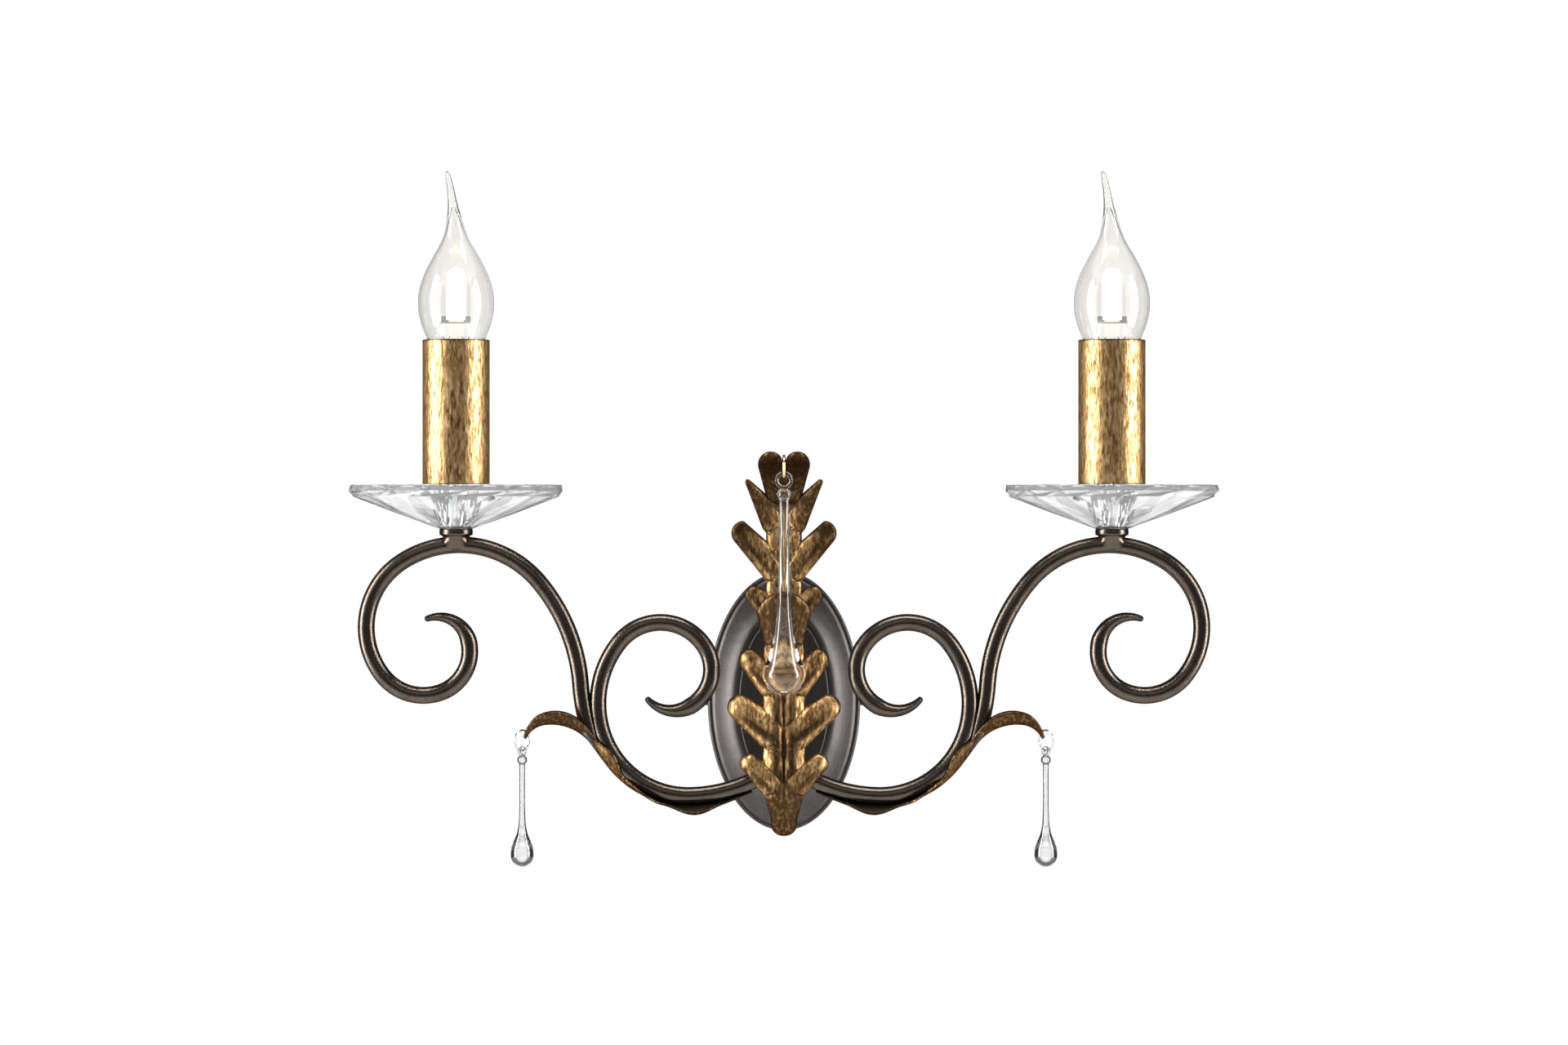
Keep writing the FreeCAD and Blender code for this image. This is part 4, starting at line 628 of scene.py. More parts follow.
# Side views: height as a share of the length, way forward as a share of the reach.
LOWER_SWEEP = ((-0.02, -1.05), (0.088, -0.2), (0.176, 0.35), (0.238, 0.55), (0.354, 0.5), (0.487, 0.25),
               (0.62, 0), (0.708, -0.1), (0.779, -0.05), (0.868, 0.25), (0.948, 0.65), (1.02, 1.1))
UPPER_SWEEP = ((-0.015, 0.49), (0.097, 0.384), (0.2436, 0.19), (0.39, 0.07), (0.544, 0), (0.684, 0.014),
               (0.794, 0.11), (0.867, 0.274), (0.9186, 0.493), (0.9553, 0.753), (0.98, 1), (1.008, 1.25))
# Cross sections: across as a share of the half width, back as a share of the crease.
LOWER_SECTION = ((0, 0.6), (0.14, -0.4), (0.3, 0.1), (0.6, 0.7), (1.08, 1.9))
UPPER_SECTION = ((0, 0.7), (0.16, -0.2), (0.35, 0), (0.65, -0.6), (1.08, -2.4))
# Rays from first to last: share of the length where each leaves the midrib, and its angle in degrees.
LOWER_FEET = ((0, 0.03), (0.16, 0.075), (0.3, 0.2), (0.5, 0.42), (0.68, 0.62), (0.8, 0.78), (0.88, 0.865),
              (1, 0.905))
LOWER_ANGLES = ((0, -90), (0.1, -35), (0.16, 0), (0.22, 30), (0.35, 42), (0.5, 38), (0.68, 46), (0.78, 25),
                (0.84, 5), (0.92, 45), (1, 90))
UPPER_FEET = ((0, 0.025), (0.08, 0.04), (0.3, 0.38), (0.45, 0.5), (0.62, 0.66), (0.8, 0.84), (0.9, 0.925),
              (1, 0.945))
UPPER_ANGLES = ((0, -90), (0.06, 0), (0.2, 10), (0.3, 30), (0.45, 42), (0.6, 42), (0.72, 52), (0.82, 35),
                (0.9, 35), (0.95, 60), (1, 90))
# half is the half width, foot the lowest height, out the way before the wall, dome the lobes' height, groove
# and fold the midrib furrow's half width and depth, and fold_top the share of the length where it ends.
LEAVES = {
    "lower_leaf": dict(half=25.6, foot=-59.9, length=112.8, out=75, reach=10, crease=1.7, dome=3.1,
                       groove=3.2, fold=0.5, fold_top=0.62, lobes=LOWER_LOBES, sweep=LOWER_SWEEP,
                       section=LOWER_SECTION, feet=LOWER_FEET, angles=LOWER_ANGLES),
    "upper_leaf": dict(half=23.7, foot=-18.45, length=136.3, out=54, reach=36.5, crease=1.2, dome=2.2,
                       groove=1.5, fold=1.0, fold_top=1.0, lobes=UPPER_LOBES, sweep=UPPER_SWEEP,
                       section=UPPER_SECTION, feet=UPPER_FEET, angles=UPPER_ANGLES),
}
NOTCH_R = 1.2
RAYS, RAY_POINTS, RAY_CROWDING = 560, 34, 0.85
PROBES, PROBE_REACH = 900, 1.6
MIDRIB_DOME = 0.8
CREASE_DEPTH, CREASE_FROM = 0.5, 2
# Width of the band along the leaf's edge that turns browner.
EDGE_BAND = 6


def lobe_distance(x, z, first, second):
    """Signed distance to a lobe, share along its axis and offset to its lower flank.

    It is the distance to the nearest of the circles strung along the axis, less its radius.
    """
    x0, z0, r0 = first
    x1, z1, r1 = second
    dx, dz = x1 - x0, z1 - z0
    length = math.hypot(dx, dz)
    lean = (r0 - r1) / length
    along = ((x - x0) * dx + (z - z0) * dz) / length
    flank = ((x - x0) * dz - (z - z0) * dx) / length
    shifted = np.clip((along + np.abs(flank) * lean / math.sqrt(1 - lean * lean)) / length, 0, 1)
    radius = r0 + (r1 - r0) * shifted
    gap = np.hypot(x - (x0 + dx * shifted), z - (z0 + dz * shifted)) - radius
    return gap, along / length, flank


def smooth_union(gaps, soften):
    """Least of the signed distances, less a parabola where two differ by under the softening."""
    total = gaps[0]
    for gap in gaps[1:]:
        h = np.clip(0.5 + 0.5 * (total - gap) / soften, 0, 1)
        total = total + (gap - total) * h - soften * h * (1 - h)
    return total


def leaf_outline(lobes, x, z):
    """Signed distance to the leaf's edge, less than 0 inside."""
    return smooth_union([lobe_distance(x, z, *pair)[0] for pair in lobes], NOTCH_R)


def leaf_rays(spec, lobes):
    """Flat grid of the leaf: rays fan out from the midrib to the edge, mirrored to the other half.

    A ray ends where the distance to the edge changes its sign. Its points crowd towards the edge by
    a power of the sine of a quarter turn.
    """
    t = np.linspace(0, 1, RAYS)
    start = spec["foot"] + spec["length"] * spline(*zip(*spec["feet"]), t)
    angle = np.radians(spline(*zip(*spec["angles"]), t))
    probe = np.linspace(0, PROBE_REACH * spec["half"], PROBES)
    field = leaf_outline(lobes, probe[None, :] * np.cos(angle)[:, None],
                         start[:, None] + probe[None, :] * np.sin(angle)[:, None])
    first = np.argmax(field > 0, axis=1)
    rows = np.arange(RAYS)
    before, after = field[rows, first - 1], field[rows, first]
    reach = probe[first - 1] + (probe[1] - probe[0]) * (-before) / (after - before)
    share = np.sin(np.linspace(0, math.pi / 2, RAY_POINTS)) ** RAY_CROWDING
    x = reach[:, None] * share * np.cos(angle)[:, None]
    z = start[:, None] + reach[:, None] * share * np.sin(angle)[:, None]
    return (joined([-x[:, ::-1], x[:, 1:]], axis=1), joined([z[:, ::-1], z[:, 1:]], axis=1))


def lobe_relief(lobes, x, z):
    """Domed lobes, creases between them, and masks of the painted highlight on the side lobes' upper flanks
    and the painted shade on their lower flanks.

    A dome is the root of depth times two less depth, with the depth as a share of the lobe's radius. A
    crease is a bell over the difference of the two highest domes, and each mask a bell across the lobe.
    """
    x = np.abs(x)
    domes, flank_highlights, flank_shades = [], np.zeros_like(x), np.zeros_like(x)
    for pair in lobes:
        gap, along, flank = lobe_distance(x, z, *pair)
        width = max(pair[0][2], pair[1][2])
        depth = np.clip(-gap / width, 0, 1)
        dome = np.sqrt(depth * (2 - depth))
        if pair[1][0] > 0:
            domes.append(dome)
            on = rising(along, -0.3, 0.4) * falling(along, 1.1, 0.5) * (gap < 0)
            flank_highlights = np.maximum(flank_highlights, on * ridge(flank / width, -0.3, 0.25))
            flank_shades = np.maximum(flank_shades, on * ridge(flank / width, 0.35, 0.24))
        else:
            domes.append(MIDRIB_DOME * dome)
    ranked = np.sort(domes, axis=0)
    relief, second = ranked[-1], ranked[-2]
    crease = ridge(relief - second, 0, 0.1) * rising(second, 0, 0.3) * (x > CREASE_FROM)
    return relief, crease, flank_highlights, flank_shades


def leaf_shade(name, across, up, edge, flank_highlights, flank_shades, crease, groove):
    """How brown each point is: a weighted sum that is mostly painted shade, 0 for gold, 1 for brown and
    beyond it darker.
    """
    # Painted shade on the down-facing disc and tail, the midrib furrow, the creases and the side lobes' lower
    # flanks; painted highlight on their upper flanks. The edge band is only browner.
    if name == "lower_leaf":
        disc = rising(up, 0.74, 0.06)
        tail = falling(up, 0.2, 0.1)
        rib = np.sqrt(groove) * falling(up, 0.64, 0.12)
        return np.clip(0.12 + 0.72 * disc + 0.85 * tail + 1.15 * rib + 0.3 * edge ** 2 + 0.6 * crease
                       + 0.75 * flank_shades - 0.25 * flank_highlights, 0, 1.35)
    # Painted shade on the top that curls forward and faces down, the furrow, the creases and the lower
    # flanks; painted highlight on the upper flanks. The outer lobes and the edge band are only browner.
    tips = rising(np.hypot(across, (up - 0.55) * 1.6), 0.42, 0.4)
    top = rising(up, 0.7, 0.12)
    return np.clip(0.05 + 0.6 * tips + 0.6 * top + 0.25 * edge ** 2 + 0.5 * crease + 0.2 * groove
                   + 0.4 * flank_shades - 0.25 * flank_highlights, 0, 1)


def front_of(back):
    """Front of the sheet: its back moved by the sheet along the normal that points forward."""
    normal = np.cross(np.gradient(back, axis=0), np.gradient(back, axis=1))
    size = np.linalg.norm(normal, axis=-1, keepdims=True)
    normal = np.where(size > 1e-9, normal / np.maximum(size, 1e-9), -BACK)
    normal *= -np.sign(normal[..., 1:2] + TINY)
    front = back + SHEET * normal
    front[[0, -1], :, 0] = 0
    return front


def make_leaf(name, spec):
    """Creased leaf: a flat fan of rays bent by its side view and cross section, domed and folded.

    The way back is the cross section, less the way out, the reach and the domes, plus the creases
    and the furrow.
    """
    half, foot, length = spec["half"], spec["foot"], spec["length"]
    lobes = [[(x * half, foot + z * length, r * half) for x, z, r in pair] for pair in spec["lobes"]]
    x, z = leaf_rays(spec, lobes)
    up = (z - foot) / length
    across = np.abs(x) / half
    forward = spec["reach"] * spline(*zip(*spec["sweep"]), up)
    bent = spec["crease"] * spline(*zip(*spec["section"]), across) - spec["out"] - forward
    relief, crease, flank_highlights, flank_shades = lobe_relief(lobes, x, z)
    groove = ridge(x, 0, spec["groove"]) * falling(up, 0.98, 0.1) * rising(up, 0.1, 0.12)
    fold = spec["fold"] * groove * falling(up, spec["fold_top"], 0.08)
    back = np.stack([x, bent - spec["dome"] * relief + CREASE_DEPTH * crease + fold, z], axis=-1)
    front = front_of(back)
    edge = np.clip(1 + leaf_outline(lobes, np.abs(x), z) / EDGE_BAND, 0, 1)
    # The shade field: painted shade and highlight from leaf_shade on both faces, and brown all round the rim.
    shade = leaf_shade(name, across, up, edge, flank_highlights, flank_shades, crease, groove).ravel()
    loop_front, loop_back = (joined([face[:, 0], face[::-1, -1]]) for face in (front, back))
    rim = np.stack([loop_front, loop_front * 0.5 + loop_back * 0.5, loop_back])
    fields = {"shade": joined([shade, shade, np.ones(rim[..., 0].size)])}
    piece(name + "_creased", [(front, False, False), (back, False, False), (rim, False, True)], "lamp",
          "antique_gold", [name], LEAF_GOLD, fields)


# Arm leaf lobes: middle and half length as shares of the leaf's length.
ARM_LOBES = ((0.22, 0.12), (0.42, 0.11), (0.61, 0.11), (0.85, 0.19))
# Lift of the arm leaf's edges: share of the length, angle in degrees, up is positive.
ARM_LIFT = ((0, 12), (0.22, -25), (0.42, 5), (0.6, 35), (0.85, 38), (1, 30))
ARM_STEM_HALF, ARM_LOBE_HALF = 3.4, 5.2
# Share of the width at the foot and at the tip, and its growth from there per share of the length.
ARM_FOOT, ARM_TIP = (0.45, 8), (0.3, 9)
ARM_STEP, ARM_COLUMNS = 0.45, 25
# Depth of the furrow where the leaf is as wide as the second, and rise that meets the tube.
ARM_FURROW, ARM_FURROW_WIDTH, ARM_SEAT = 0.25, 8, 0.28


def arm_leaf_grid():
    """Upper side, lower side and painted shade of the long leaf that hugs the tube.

    The half width is a stem plus a squared cosine over each lobe, tapered at both ends. The edges lift by
    the square of the way across times the sine of the lift. A low bell meets the tube near the hub, and
    further out is a furrow.
    """
    x, z, heading, run = arc_line(*ARM_LEAF_LINE, ARM_STEP)
    share = run / run[-1]
    width = np.full_like(share, ARM_STEM_HALF)
    for middle, half in ARM_LOBES:
        away = np.abs(share - middle) / half
        width += np.where(away < 1, ARM_LOBE_HALF * np.cos(np.clip(away, 0, 1) * math.pi / 2) ** 2, 0)
    taper = np.minimum(ARM_FOOT[0] + share * ARM_FOOT[1], ARM_TIP[0] + (1 - share) * ARM_TIP[1])
    width *= np.minimum(1, taper)
    lift = np.radians(spline(*zip(*ARM_LIFT), share))
    across = np.linspace(-1, 1, ARM_COLUMNS)
    flat = across[None, :] * width[:, None]
    rise = np.abs(flat) * np.sin(lift)[:, None] * np.abs(across)[None, :]
    side = flat * np.cos(lift)[:, None]
    line, up = line_frame(x, z, heading)
    near_hub = falling(share, 0.5, 0.15)
    furrow = (rising(width, 0, ARM_FURROW_WIDTH) * (1 - near_hub))[:, None]
    bed = -ARM_FURROW * ridge(across, 0, 0.12)[None, :] * furrow
    bed = bed + ARM_SEAT * ridge(across, 0, 0.45)[None, :] * near_hub[:, None]
    top = line[:, None, :] + side[..., None] * BACK + (rise + bed)[..., None] * up[:, None, :]
    low = top - SHEET * up[:, None, :]
    # Painted shade: darker along the middle furrow, near the hub where the tube shades the leaf, and on the
    # front half of the arched end that faces down.
    front = falling(across, 0, 1)[None, :] * rising(share, 0.7, 0.1)[:, None]
    shade = np.clip(0.45 + 0.3 * ridge(across, 0, 0.15)[None, :] + 0.9 * near_hub[:, None]
                    + 0.35 * front + 0.8 * falling(share, 0.34, 0.1)[:, None], 0, 2)
    return top, low, shade


def edge_loop(grid):
    return joined([grid[:, 0], grid[-1, 1:-1], grid[::-1, -1], grid[0, ::-1][1:-1]])


def make_arm_leaves():
    """Both sides of each arm leaf and the rim between them."""
    top, low, shade = arm_leaf_grid()
    rim = np.stack([edge_loop(top), edge_loop(low)])
    # The lower side carries 0.2 more painted shade than the upper side.
    fields = {"shade": joined([shade.ravel(), shade.ravel() + 0.2, np.ones(rim[..., 0].size)])}
    for name, side in SIDES:
        parts = [(mirror(top, side), False, False), (mirror(low, side), False, False),
                 (mirror(rim, side), False, True)]
        piece("arm_leaf_creased_" + name, parts, "lamp", "antique_gold", ["arm_leaf_" + name], LEAF_GOLD,
              fields)


# Candles

SLEEVE_OUTER, SLEEVE_INNER = 15.6, 14.6
SLEEVE_FOOT, SLEEVE_TOP = 103.5, 171.0
SLEEVE_CORNER = 0.35
SLEEVE_LEVELS = (104.3, 105.1, 107, 120, 137, 154, 167, 169.4, 170.2)
# Reach and strength of the brown band at each end of the sleeve.
SLEEVE_END_BAND, SLEEVE_BROWN = 1.2, 0.9


def make_sleeve(name, side):
    """Candle sleeve: a thin wall with rounded rims, spun, and brown near both ends."""
    corners = [(SLEEVE_INNER, SLEEVE_FOOT), (SLEEVE_OUTER, SLEEVE_FOOT), (SLEEVE_OUTER, SLEEVE_TOP),
               (SLEEVE_INNER, SLEEVE_TOP), (SLEEVE_INNER, SLEEVE_FOOT)]
    wall = rounded(corners, SLEEVE_CORNER)
    outside = int(np.argmax(np.diff(wall[:, 1]))) + 1
    levels = [(SLEEVE_OUTER, level) for level in SLEEVE_LEVELS]
    wall = joined([wall[:outside], levels, wall[outside:]])
    grid = revolve(wall, (side * CANDLE_X, ARM_Y, 0), 96)
    near_end = np.minimum(np.abs(grid[..., 2] - SLEEVE_FOOT), np.abs(grid[..., 2] - SLEEVE_TOP))
    piece("candle_sleeve_smooth_" + name, [(grid, False, True)], "lamp", "antique_gold",
          ["candle_sleeve_" + name], fields={"shade": SLEEVE_BROWN * np.clip(SLEEVE_END_BAND - near_end, 0, 1)})


# Collar levels: height, half width sideways and half width front to back. The well comes after them.
COLLAR_LEVELS = ((73.2, 9.0, 3.2), (74.2, 11.0, 3.95), (75.0, 10.2, 4.3), (75.8, 8.6, 4.6), (76.6, 7.4, 5.0),
                 (77.4, 6.6, 5.4), (78.2, 6.1, 5.75), (79.0, 6.05, 6.0), (79.6, 6.4, 6.4), (80.0, 7.0, 7.0),
                 (80.2, 7.55, 7.55), (80.6, 7.75, 7.75), (82.6, 7.75, 7.75), (82.9, 7.6, 7.6),
                 (83.0, 7.4, 7.4))
COLLAR_WELL = ((83.0, 5.1, 5.1), (80.0, 5.1, 5.1), (80.0, 0, 0))


def make_collar(name, side):
    """Turned collar: each level is an oval, its half widths times the cosine and sine of the turn."""
    foot = (COLLAR_LEVELS[0][0], 0, 0)
    level, wide, deep = np.array([foot, *COLLAR_LEVELS, *COLLAR_WELL]).T
    x, y, z = ovals(wide, deep, level, 72)
    grid = np.stack([side * (CANDLE_X + x), ARM_Y + y, z], axis=-1)
    piece("pan_collar_smooth_" + name, [(grid, False, True)], "lamp", "bronze", ["pan_collar_" + name])


# Bulb glass: height as a share of its height, radius as a share of its largest radius.
BULB_PROFILE = (
    (0, 0.34), (0.04, 0.352), (0.12, 0.56), (0.235, 0.785), (0.305, 0.93), (0.365, 0.995), (0.41, 1),
    (0.465, 0.955), (0.505, 0.885), (0.545, 0.79), (0.609, 0.6), (0.65, 0.46), (0.69, 0.345), (0.735, 0.26),
    (0.78, 0.2), (0.825, 0.15), (0.87, 0.115), (0.93, 0.09), (0.987, 0.062), (1, 0.03),
)
# Lean of the drawn-out tip: the same height, sideways as a share of the largest radius.
BULB_LEAN = ((0, 0), (0.6, 0), (0.69, -0.01), (0.78, -0.045), (0.866, -0.1), (0.94, -0.165), (1, -0.24))
BULB_FOOT, BULB_HEIGHT, BULB_R, BULB_WALL = 148.5, 101.0, 17.6, 0.8
BULB_RINGS = 90
# Height shares of the hollow: where it starts to close, over how much, its last ring and its end.
HOLLOW_SHOULDER, HOLLOW_TAPER, HOLLOW_TOP, HOLLOW_END = 0.7, 0.14, 0.84, 0.8402
HOLLOW_LAST, HOLLOW_LEAST_R = 0.999, 0.3


def make_bulb(name, side):
    """Blown glass with a wall of its own, open at the cap and closed at the drawn-out tip.

    The outside is the profile, spun and leaned. The hollow is a wall smaller, and its end is a
    quarter circle.
    """
    centre = (side * CANDLE_X, ARM_Y, 0)

    def shell(share, radius, end_share, end_first):
        """Grid of rings with their lean, and a point that closes it."""
        rings = np.stack([radius, BULB_FOOT + BULB_HEIGHT * share], axis=-1)
        lean = BULB_R * spline(*zip(*BULB_LEAN), share)
        point = [(0, BULB_FOOT + BULB_HEIGHT * end_share)]
        if end_first:
            return revolve(joined([point, rings]), centre, lean=joined([lean[:1], lean]))
        return revolve(joined([rings, point]), centre, lean=joined([lean, lean[-1:]]))

    up = np.linspace(0, 1, BULB_RINGS)
    outside = shell(up, BULB_R * spline(*zip(*BULB_PROFILE), up), 1, False)
    down = np.linspace(HOLLOW_TOP, 0, BULB_RINGS)
    closing = np.clip((down - HOLLOW_SHOULDER) / HOLLOW_TAPER, 0, HOLLOW_LAST)
    hollow_r = np.maximum(BULB_R * spline(*zip(*BULB_PROFILE), down) - BULB_WALL, HOLLOW_LEAST_R)
    inside = shell(down, hollow_r * np.sqrt(1 - closing ** 2), HOLLOW_END, True)
    mouth = np.stack([outside[0], inside[-1]])
    piece("bulb_glass_blown_" + name, [(outside, False, True), (inside, False, True), (mouth, False, True)],
          "bulb_" + name, "bulb_glass", ["bulb_glass_" + name])


# Plate

PLATE_HALF, BOSS_HALF = np.array([36.7, 62.3]), np.array([21.2, 41.5])
PLATE_DEPTH, PLATE_SHEET, PLATE_CORNER = 22, 1.2, 0.3
# Skirt and step: way in from the edge, way out from the wall.
PLATE_STEPS = ((0, 7.2), (0.8, 8), (2.3, 8), (3.2, 8.9))
# Cove: share of the way in to the flat boss, share of the rise to it.
PLATE_COVE = ((0, 0), (0.3, 0.13), (0.55, 0.27), (0.76, 0.45), (0.9, 0.7), (1, 1))
COVE_RINGS = 23
BOSS_RINGS = (0.985, 0.7, 0.4, 0)


def plate_section(inset):
    """Section of one face of the plate, from the wall in: half width, half height and place in y.

    Skirt and step have rounded corners, the cove goes evenly in while its rise follows its table,
    and the boss is flat.
    """
    half = PLATE_HALF - inset
    steps = [(*half, 0)] + [(*(half - way_in), inset - way_out) for way_in, way_out in PLATE_STEPS]
    start, end = np.array(steps[-1]), np.array([*(BOSS_HALF - inset), inset - PLATE_DEPTH])
    t = np.linspace(0, 1, COVE_RINGS + 1)[1:]
    cove = start + (end - start) * np.stack([t, t, spline(*zip(*PLATE_COVE), t)], axis=-1)
    boss = [(end[0] * share, end[1] * share, end[2]) for share in BOSS_RINGS]
    return joined([rounded(steps, PLATE_CORNER), cove, boss])


def make_plate():
    """Pressed oval plate: its section goes round an oval, cosine of the turn across and sine up."""
    wide, high, out = joined([plate_section(0)[::-1], plate_section(PLATE_SHEET)]).T
    x, z, y = ovals(wide, high, out, 160)
    grid = np.stack([x, y, z], axis=-1)
    piece("backplate_smooth", [(grid, False, True)], "lamp", "bronze", ["backplate"], PLATE_BRONZE)


# Hook, rings and drops

# Drops: depth below the eye as a share of the body, radius as a share of the ball's radius.
CENTRE_DROP = ((0, 0.12), (0.008, 0.25), (0.027, 0.34), (0.046, 0.25), (0.06, 0.215), (0.3, 0.235),
               (0.56, 0.3), (0.66, 0.4), (0.75, 0.55), (0.81, 0.72), (0.86, 0.9))
SIDE_DROP = ((0, 0.25), (0.02, 0.42), (0.05, 0.42), (0.08, 0.25), (0.4, 0.24), (0.6, 0.3),
             (0.7, 0.47), (0.77, 0.74), (0.83, 0.95))
DROP_RINGS = 110
# Degrees below the ball's middle: knots of its curve, then its last rings.
BALL_KNOTS, BALL_FOOT_RINGS = (0, 30, 60, 80), (82, 84, 86, 88, 90)
# Length and ball radius of each drop, radius and wire of its eye, of the hook and of the rings.
CENTRE_BODY, CENTRE_EYE = (103.7, 10.1), (3.3, 0.9)
SIDE_BODY, SIDE_EYE = (56, 5.3), (1.7, 0.7)
HOOK, HOOK_ARC = (4.95, 0.65), (100, 452)
RING, RING_ARC = (4.8, 0.45), (3, 358)
HANG_GAP = 0.3
# Middle of the hook and of the right ring, and the level line in that ring's plane.
HOOK_MIDDLE = np.array([0, -91.3, 111.8])
RING_MIDDLE = np.array([121.756, -77.774, -15.466])
RING_LEVEL = np.array([math.sin(math.radians(40)), -math.cos(math.radians(40)), 0])


def drop_profile(length, ball, table, eye_r, eye_wire):
    """Radius and height of a turned drop below its eye: a spline that runs into a ball at the foot."""
    top = -eye_r - eye_wire / 2
    foot = eye_r + eye_wire - length
    heights = [top - depth * (top - foot) for depth, _ in table]
    radii = [ball * share for _, share in table]
    for degrees in BALL_KNOTS:
        height = foot + ball - ball * math.sin(math.radians(degrees))
        if height < heights[-1]:
            heights.append(height)
            radii.append(ball * math.cos(math.radians(degrees)))
    z = np.linspace(heights[0], heights[-1], DROP_RINGS)
    r = spline(heights[::-1], radii[::-1], z)
    low = np.radians(BALL_FOOT_RINGS)
    z = joined([[z[0]], z, foot + ball - ball * np.sin(low)])
    r = joined([[0], r, ball * np.cos(low)])
    r[-1] = 0
    return np.stack([r, z], axis=-1)


def eye_in(middle, ring_r, ring_wire, eye_r, eye_wire):
    """Middle of an eye that hangs in a ring, with its top wire a small gap above the ring's lowest wire."""
    return middle + np.array([0, 0, -ring_r + ring_wire + eye_wire + HANG_GAP - eye_r])


def make_hangings():
    """Hook and rings of bent wire, and in each a drop with an eye of glass."""
    hook = wire_ring(HOOK_MIDDLE, (1, 0, 0), *HOOK, 96, 16, HOOK_ARC)
    piece("centre_hook_wire", [hook], "hook", "gold_wire", ["centre_hook"])
    eye = eye_in(HOOK_MIDDLE, *HOOK, *CENTRE_EYE)
    body = revolve(drop_profile(*CENTRE_BODY, CENTRE_DROP, *CENTRE_EYE), eye)
    piece("centre_drop_glass", [(body, False, True), wire_ring(eye, BACK, *CENTRE_EYE)],
          "centre_pendant", "clear_glass", ["centre_drop"])
    profile = drop_profile(*SIDE_BODY, SIDE_DROP, *SIDE_EYE)
    for name, side in SIDES:
        middle, level = mirror(RING_MIDDLE, side), mirror(RING_LEVEL, side)
        ring = wire_ring(middle, np.cross(level, UP), *RING, 80, 14, RING_ARC)
        piece("side_ring_wire_" + name, [ring], "ring_" + name, "silver_wire", ["side_ring_" + name])
        eye = eye_in(middle, *RING, *SIDE_EYE)
        eye_ring = wire_ring(eye, level, *SIDE_EYE, 40, 14)
        piece("side_drop_glass_" + name, [(revolve(profile, eye, 48), False, True), eye_ring],
              "pendant_" + name, "clear_glass", ["side_drop_" + name], SMALL_GLASS)


make_scrolls()
for leaf_name, leaf_spec in LEAVES.items():
    make_leaf(leaf_name, leaf_spec)
make_arm_leaves()
for side_name, side_sign in SIDES:
    make_sleeve(side_name, side_sign)
    make_collar(side_name, side_sign)
    make_bulb(side_name, side_sign)
make_plate()
make_hangings()


# Stage

FLOOR_R, FLOOR_Z, FLOOR_SIDES = 1.1, -0.36, 96
# Brightness of the surroundings: 0 is before the lamp, 0.5 beside it and 1 behind it.
THROUGH_GLASS = ((0.0, 0.2), (0.5, 0.24), (0.66, 0.16), (0.86, 0.2), (0.92, 0.55), (0.96, 1.0))
IN_METAL = ((0.0, (0.08, 0.08, 0.085)), (0.3, 0.14), (0.5, 0.22), (0.62, 0.12), (0.9, 0.12), (0.97, 0.07))
# Even grey that lifts what is seen through glass, and its share.
HAZE, HAZE_SHARE = (0.85, 0.85, 0.85), 0.12
WHITE = (1.0, 1.0, 1.0)
LIGHT_AIM = (0, -0.05, 0.08)
# Soft boxes: place, width, height and power in watts.
SOFT_BOXES = {
    "left": ((-1.5, -0.8, 0.25), 1.0, 1.6, 8),
    "left_strip": ((-1.45, -0.46, 0.25), 0.42, 1.7, 46),
    "right": ((1.5, -0.62, 0.25), 0.8, 1.6, 6),
    "right_strip": ((1.45, -0.42, 0.25), 0.34, 1.7, 36),
    "top": ((0, -0.35, 1.5), 1.5, 0.4, 24),
    "front": ((-0.2, -2.1, 1.1), 2.2, 0.9, 4.5),
}
CAMERA_PLACE, CAMERA_LENS, CAMERA_FILM = (0, -2.075, 0.086), 98.6, 36


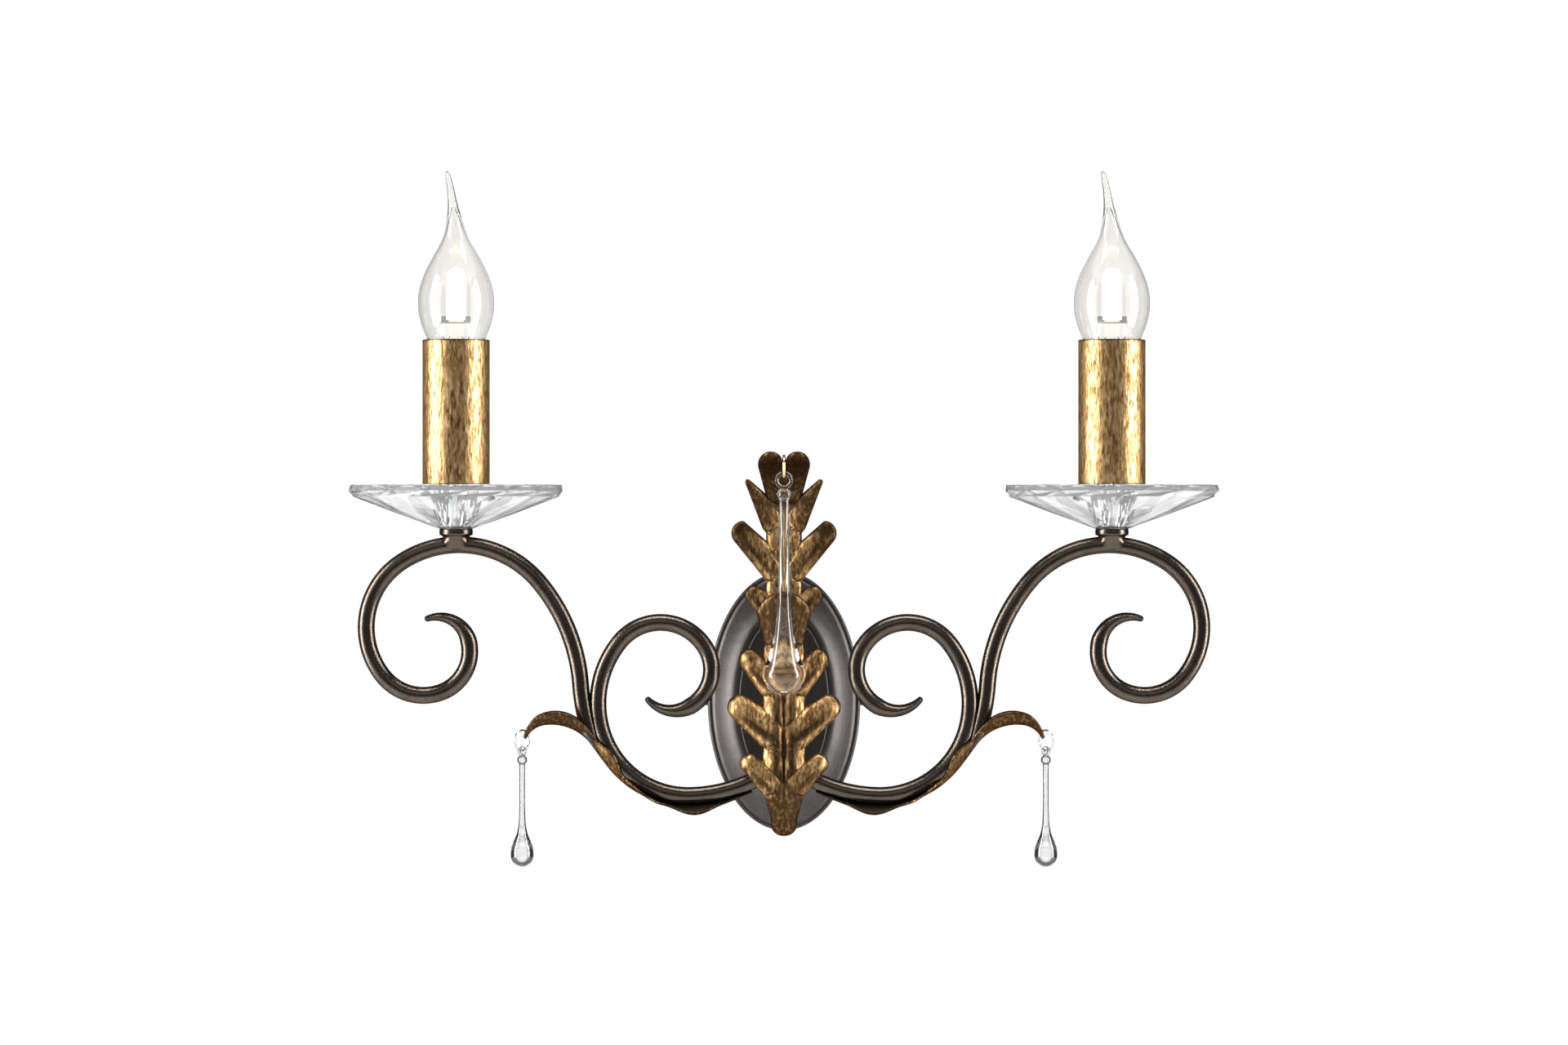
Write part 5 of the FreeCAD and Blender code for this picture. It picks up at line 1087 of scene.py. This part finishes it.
def soft_box(name, place, width, height, power):
    """Light with a flat face turned to the aim, and not seen itself."""
    data = bpy.data.lights.new(name, "AREA")
    data.shape = "RECTANGLE"
    data.size, data.size_y = width, height
    data.energy = power
    obj = in_scene(name, data)
    obj.location = place
    direction = Vector(LIGHT_AIM) - Vector(place)
    obj.rotation_euler = direction.to_track_quat("-Z", "Y").to_euler()
    obj.visible_camera = False


def make_floor():
    """Pale round floor: one face whose corners are the radius times cosine and sine of the turn."""
    mesh = bpy.data.meshes.new("floor")
    angle = turns(FLOOR_SIDES)
    ring = np.stack([FLOOR_R * np.cos(angle), FLOOR_R * np.sin(angle), np.full_like(angle, FLOOR_Z)], axis=-1)
    mesh.from_pydata(ring.tolist(), [], [list(range(FLOOR_SIDES))])
    floor = in_scene("floor", mesh)
    floor.data.materials.append(plain_material("floor_pale", (0.9, 0.9, 0.9), 0.7))


def make_surroundings():
    """Surroundings that are white to the camera, and darker by direction in metal and glass."""
    world = bpy.data.worlds.new("studio")
    bpy.context.scene.world = world
    world.use_nodes = True
    tree = world.node_tree
    split = tree.nodes.new("ShaderNodeSeparateXYZ")
    tree.links.new(tree.nodes.new("ShaderNodeTexCoord").outputs["Generated"], split.inputs[0])
    front_to_back = reckoned(tree, "MULTIPLY_ADD", split.outputs["Y"], 0.5, 0.5)
    through = blend(tree, HAZE_SHARE, ramp(tree, front_to_back, THROUGH_GLASS), HAZE)
    mirrored = ramp(tree, front_to_back, IN_METAL)
    path = tree.nodes.new("ShaderNodeLightPath").outputs
    colour = blend(tree, path["Is Transmission Ray"], mirrored, through)
    background = tree.nodes["Background"]
    tree.links.new(blend(tree, path["Is Camera Ray"], colour, WHITE), background.inputs["Color"])
    background.inputs["Strength"].default_value = 1.0


def make_camera():
    data = bpy.data.cameras.new("camera")
    data.lens = CAMERA_LENS
    data.sensor_width = CAMERA_FILM
    camera = in_scene("camera", data)
    camera.location = CAMERA_PLACE
    camera.rotation_euler = (math.pi / 2, 0, 0)
    bpy.context.scene.camera = camera
    bpy.context.scene.view_settings.view_transform = "Standard"


make_floor()
make_surroundings()
for box_name, box in SOFT_BOXES.items():
    soft_box(box_name, *box)
make_camera()
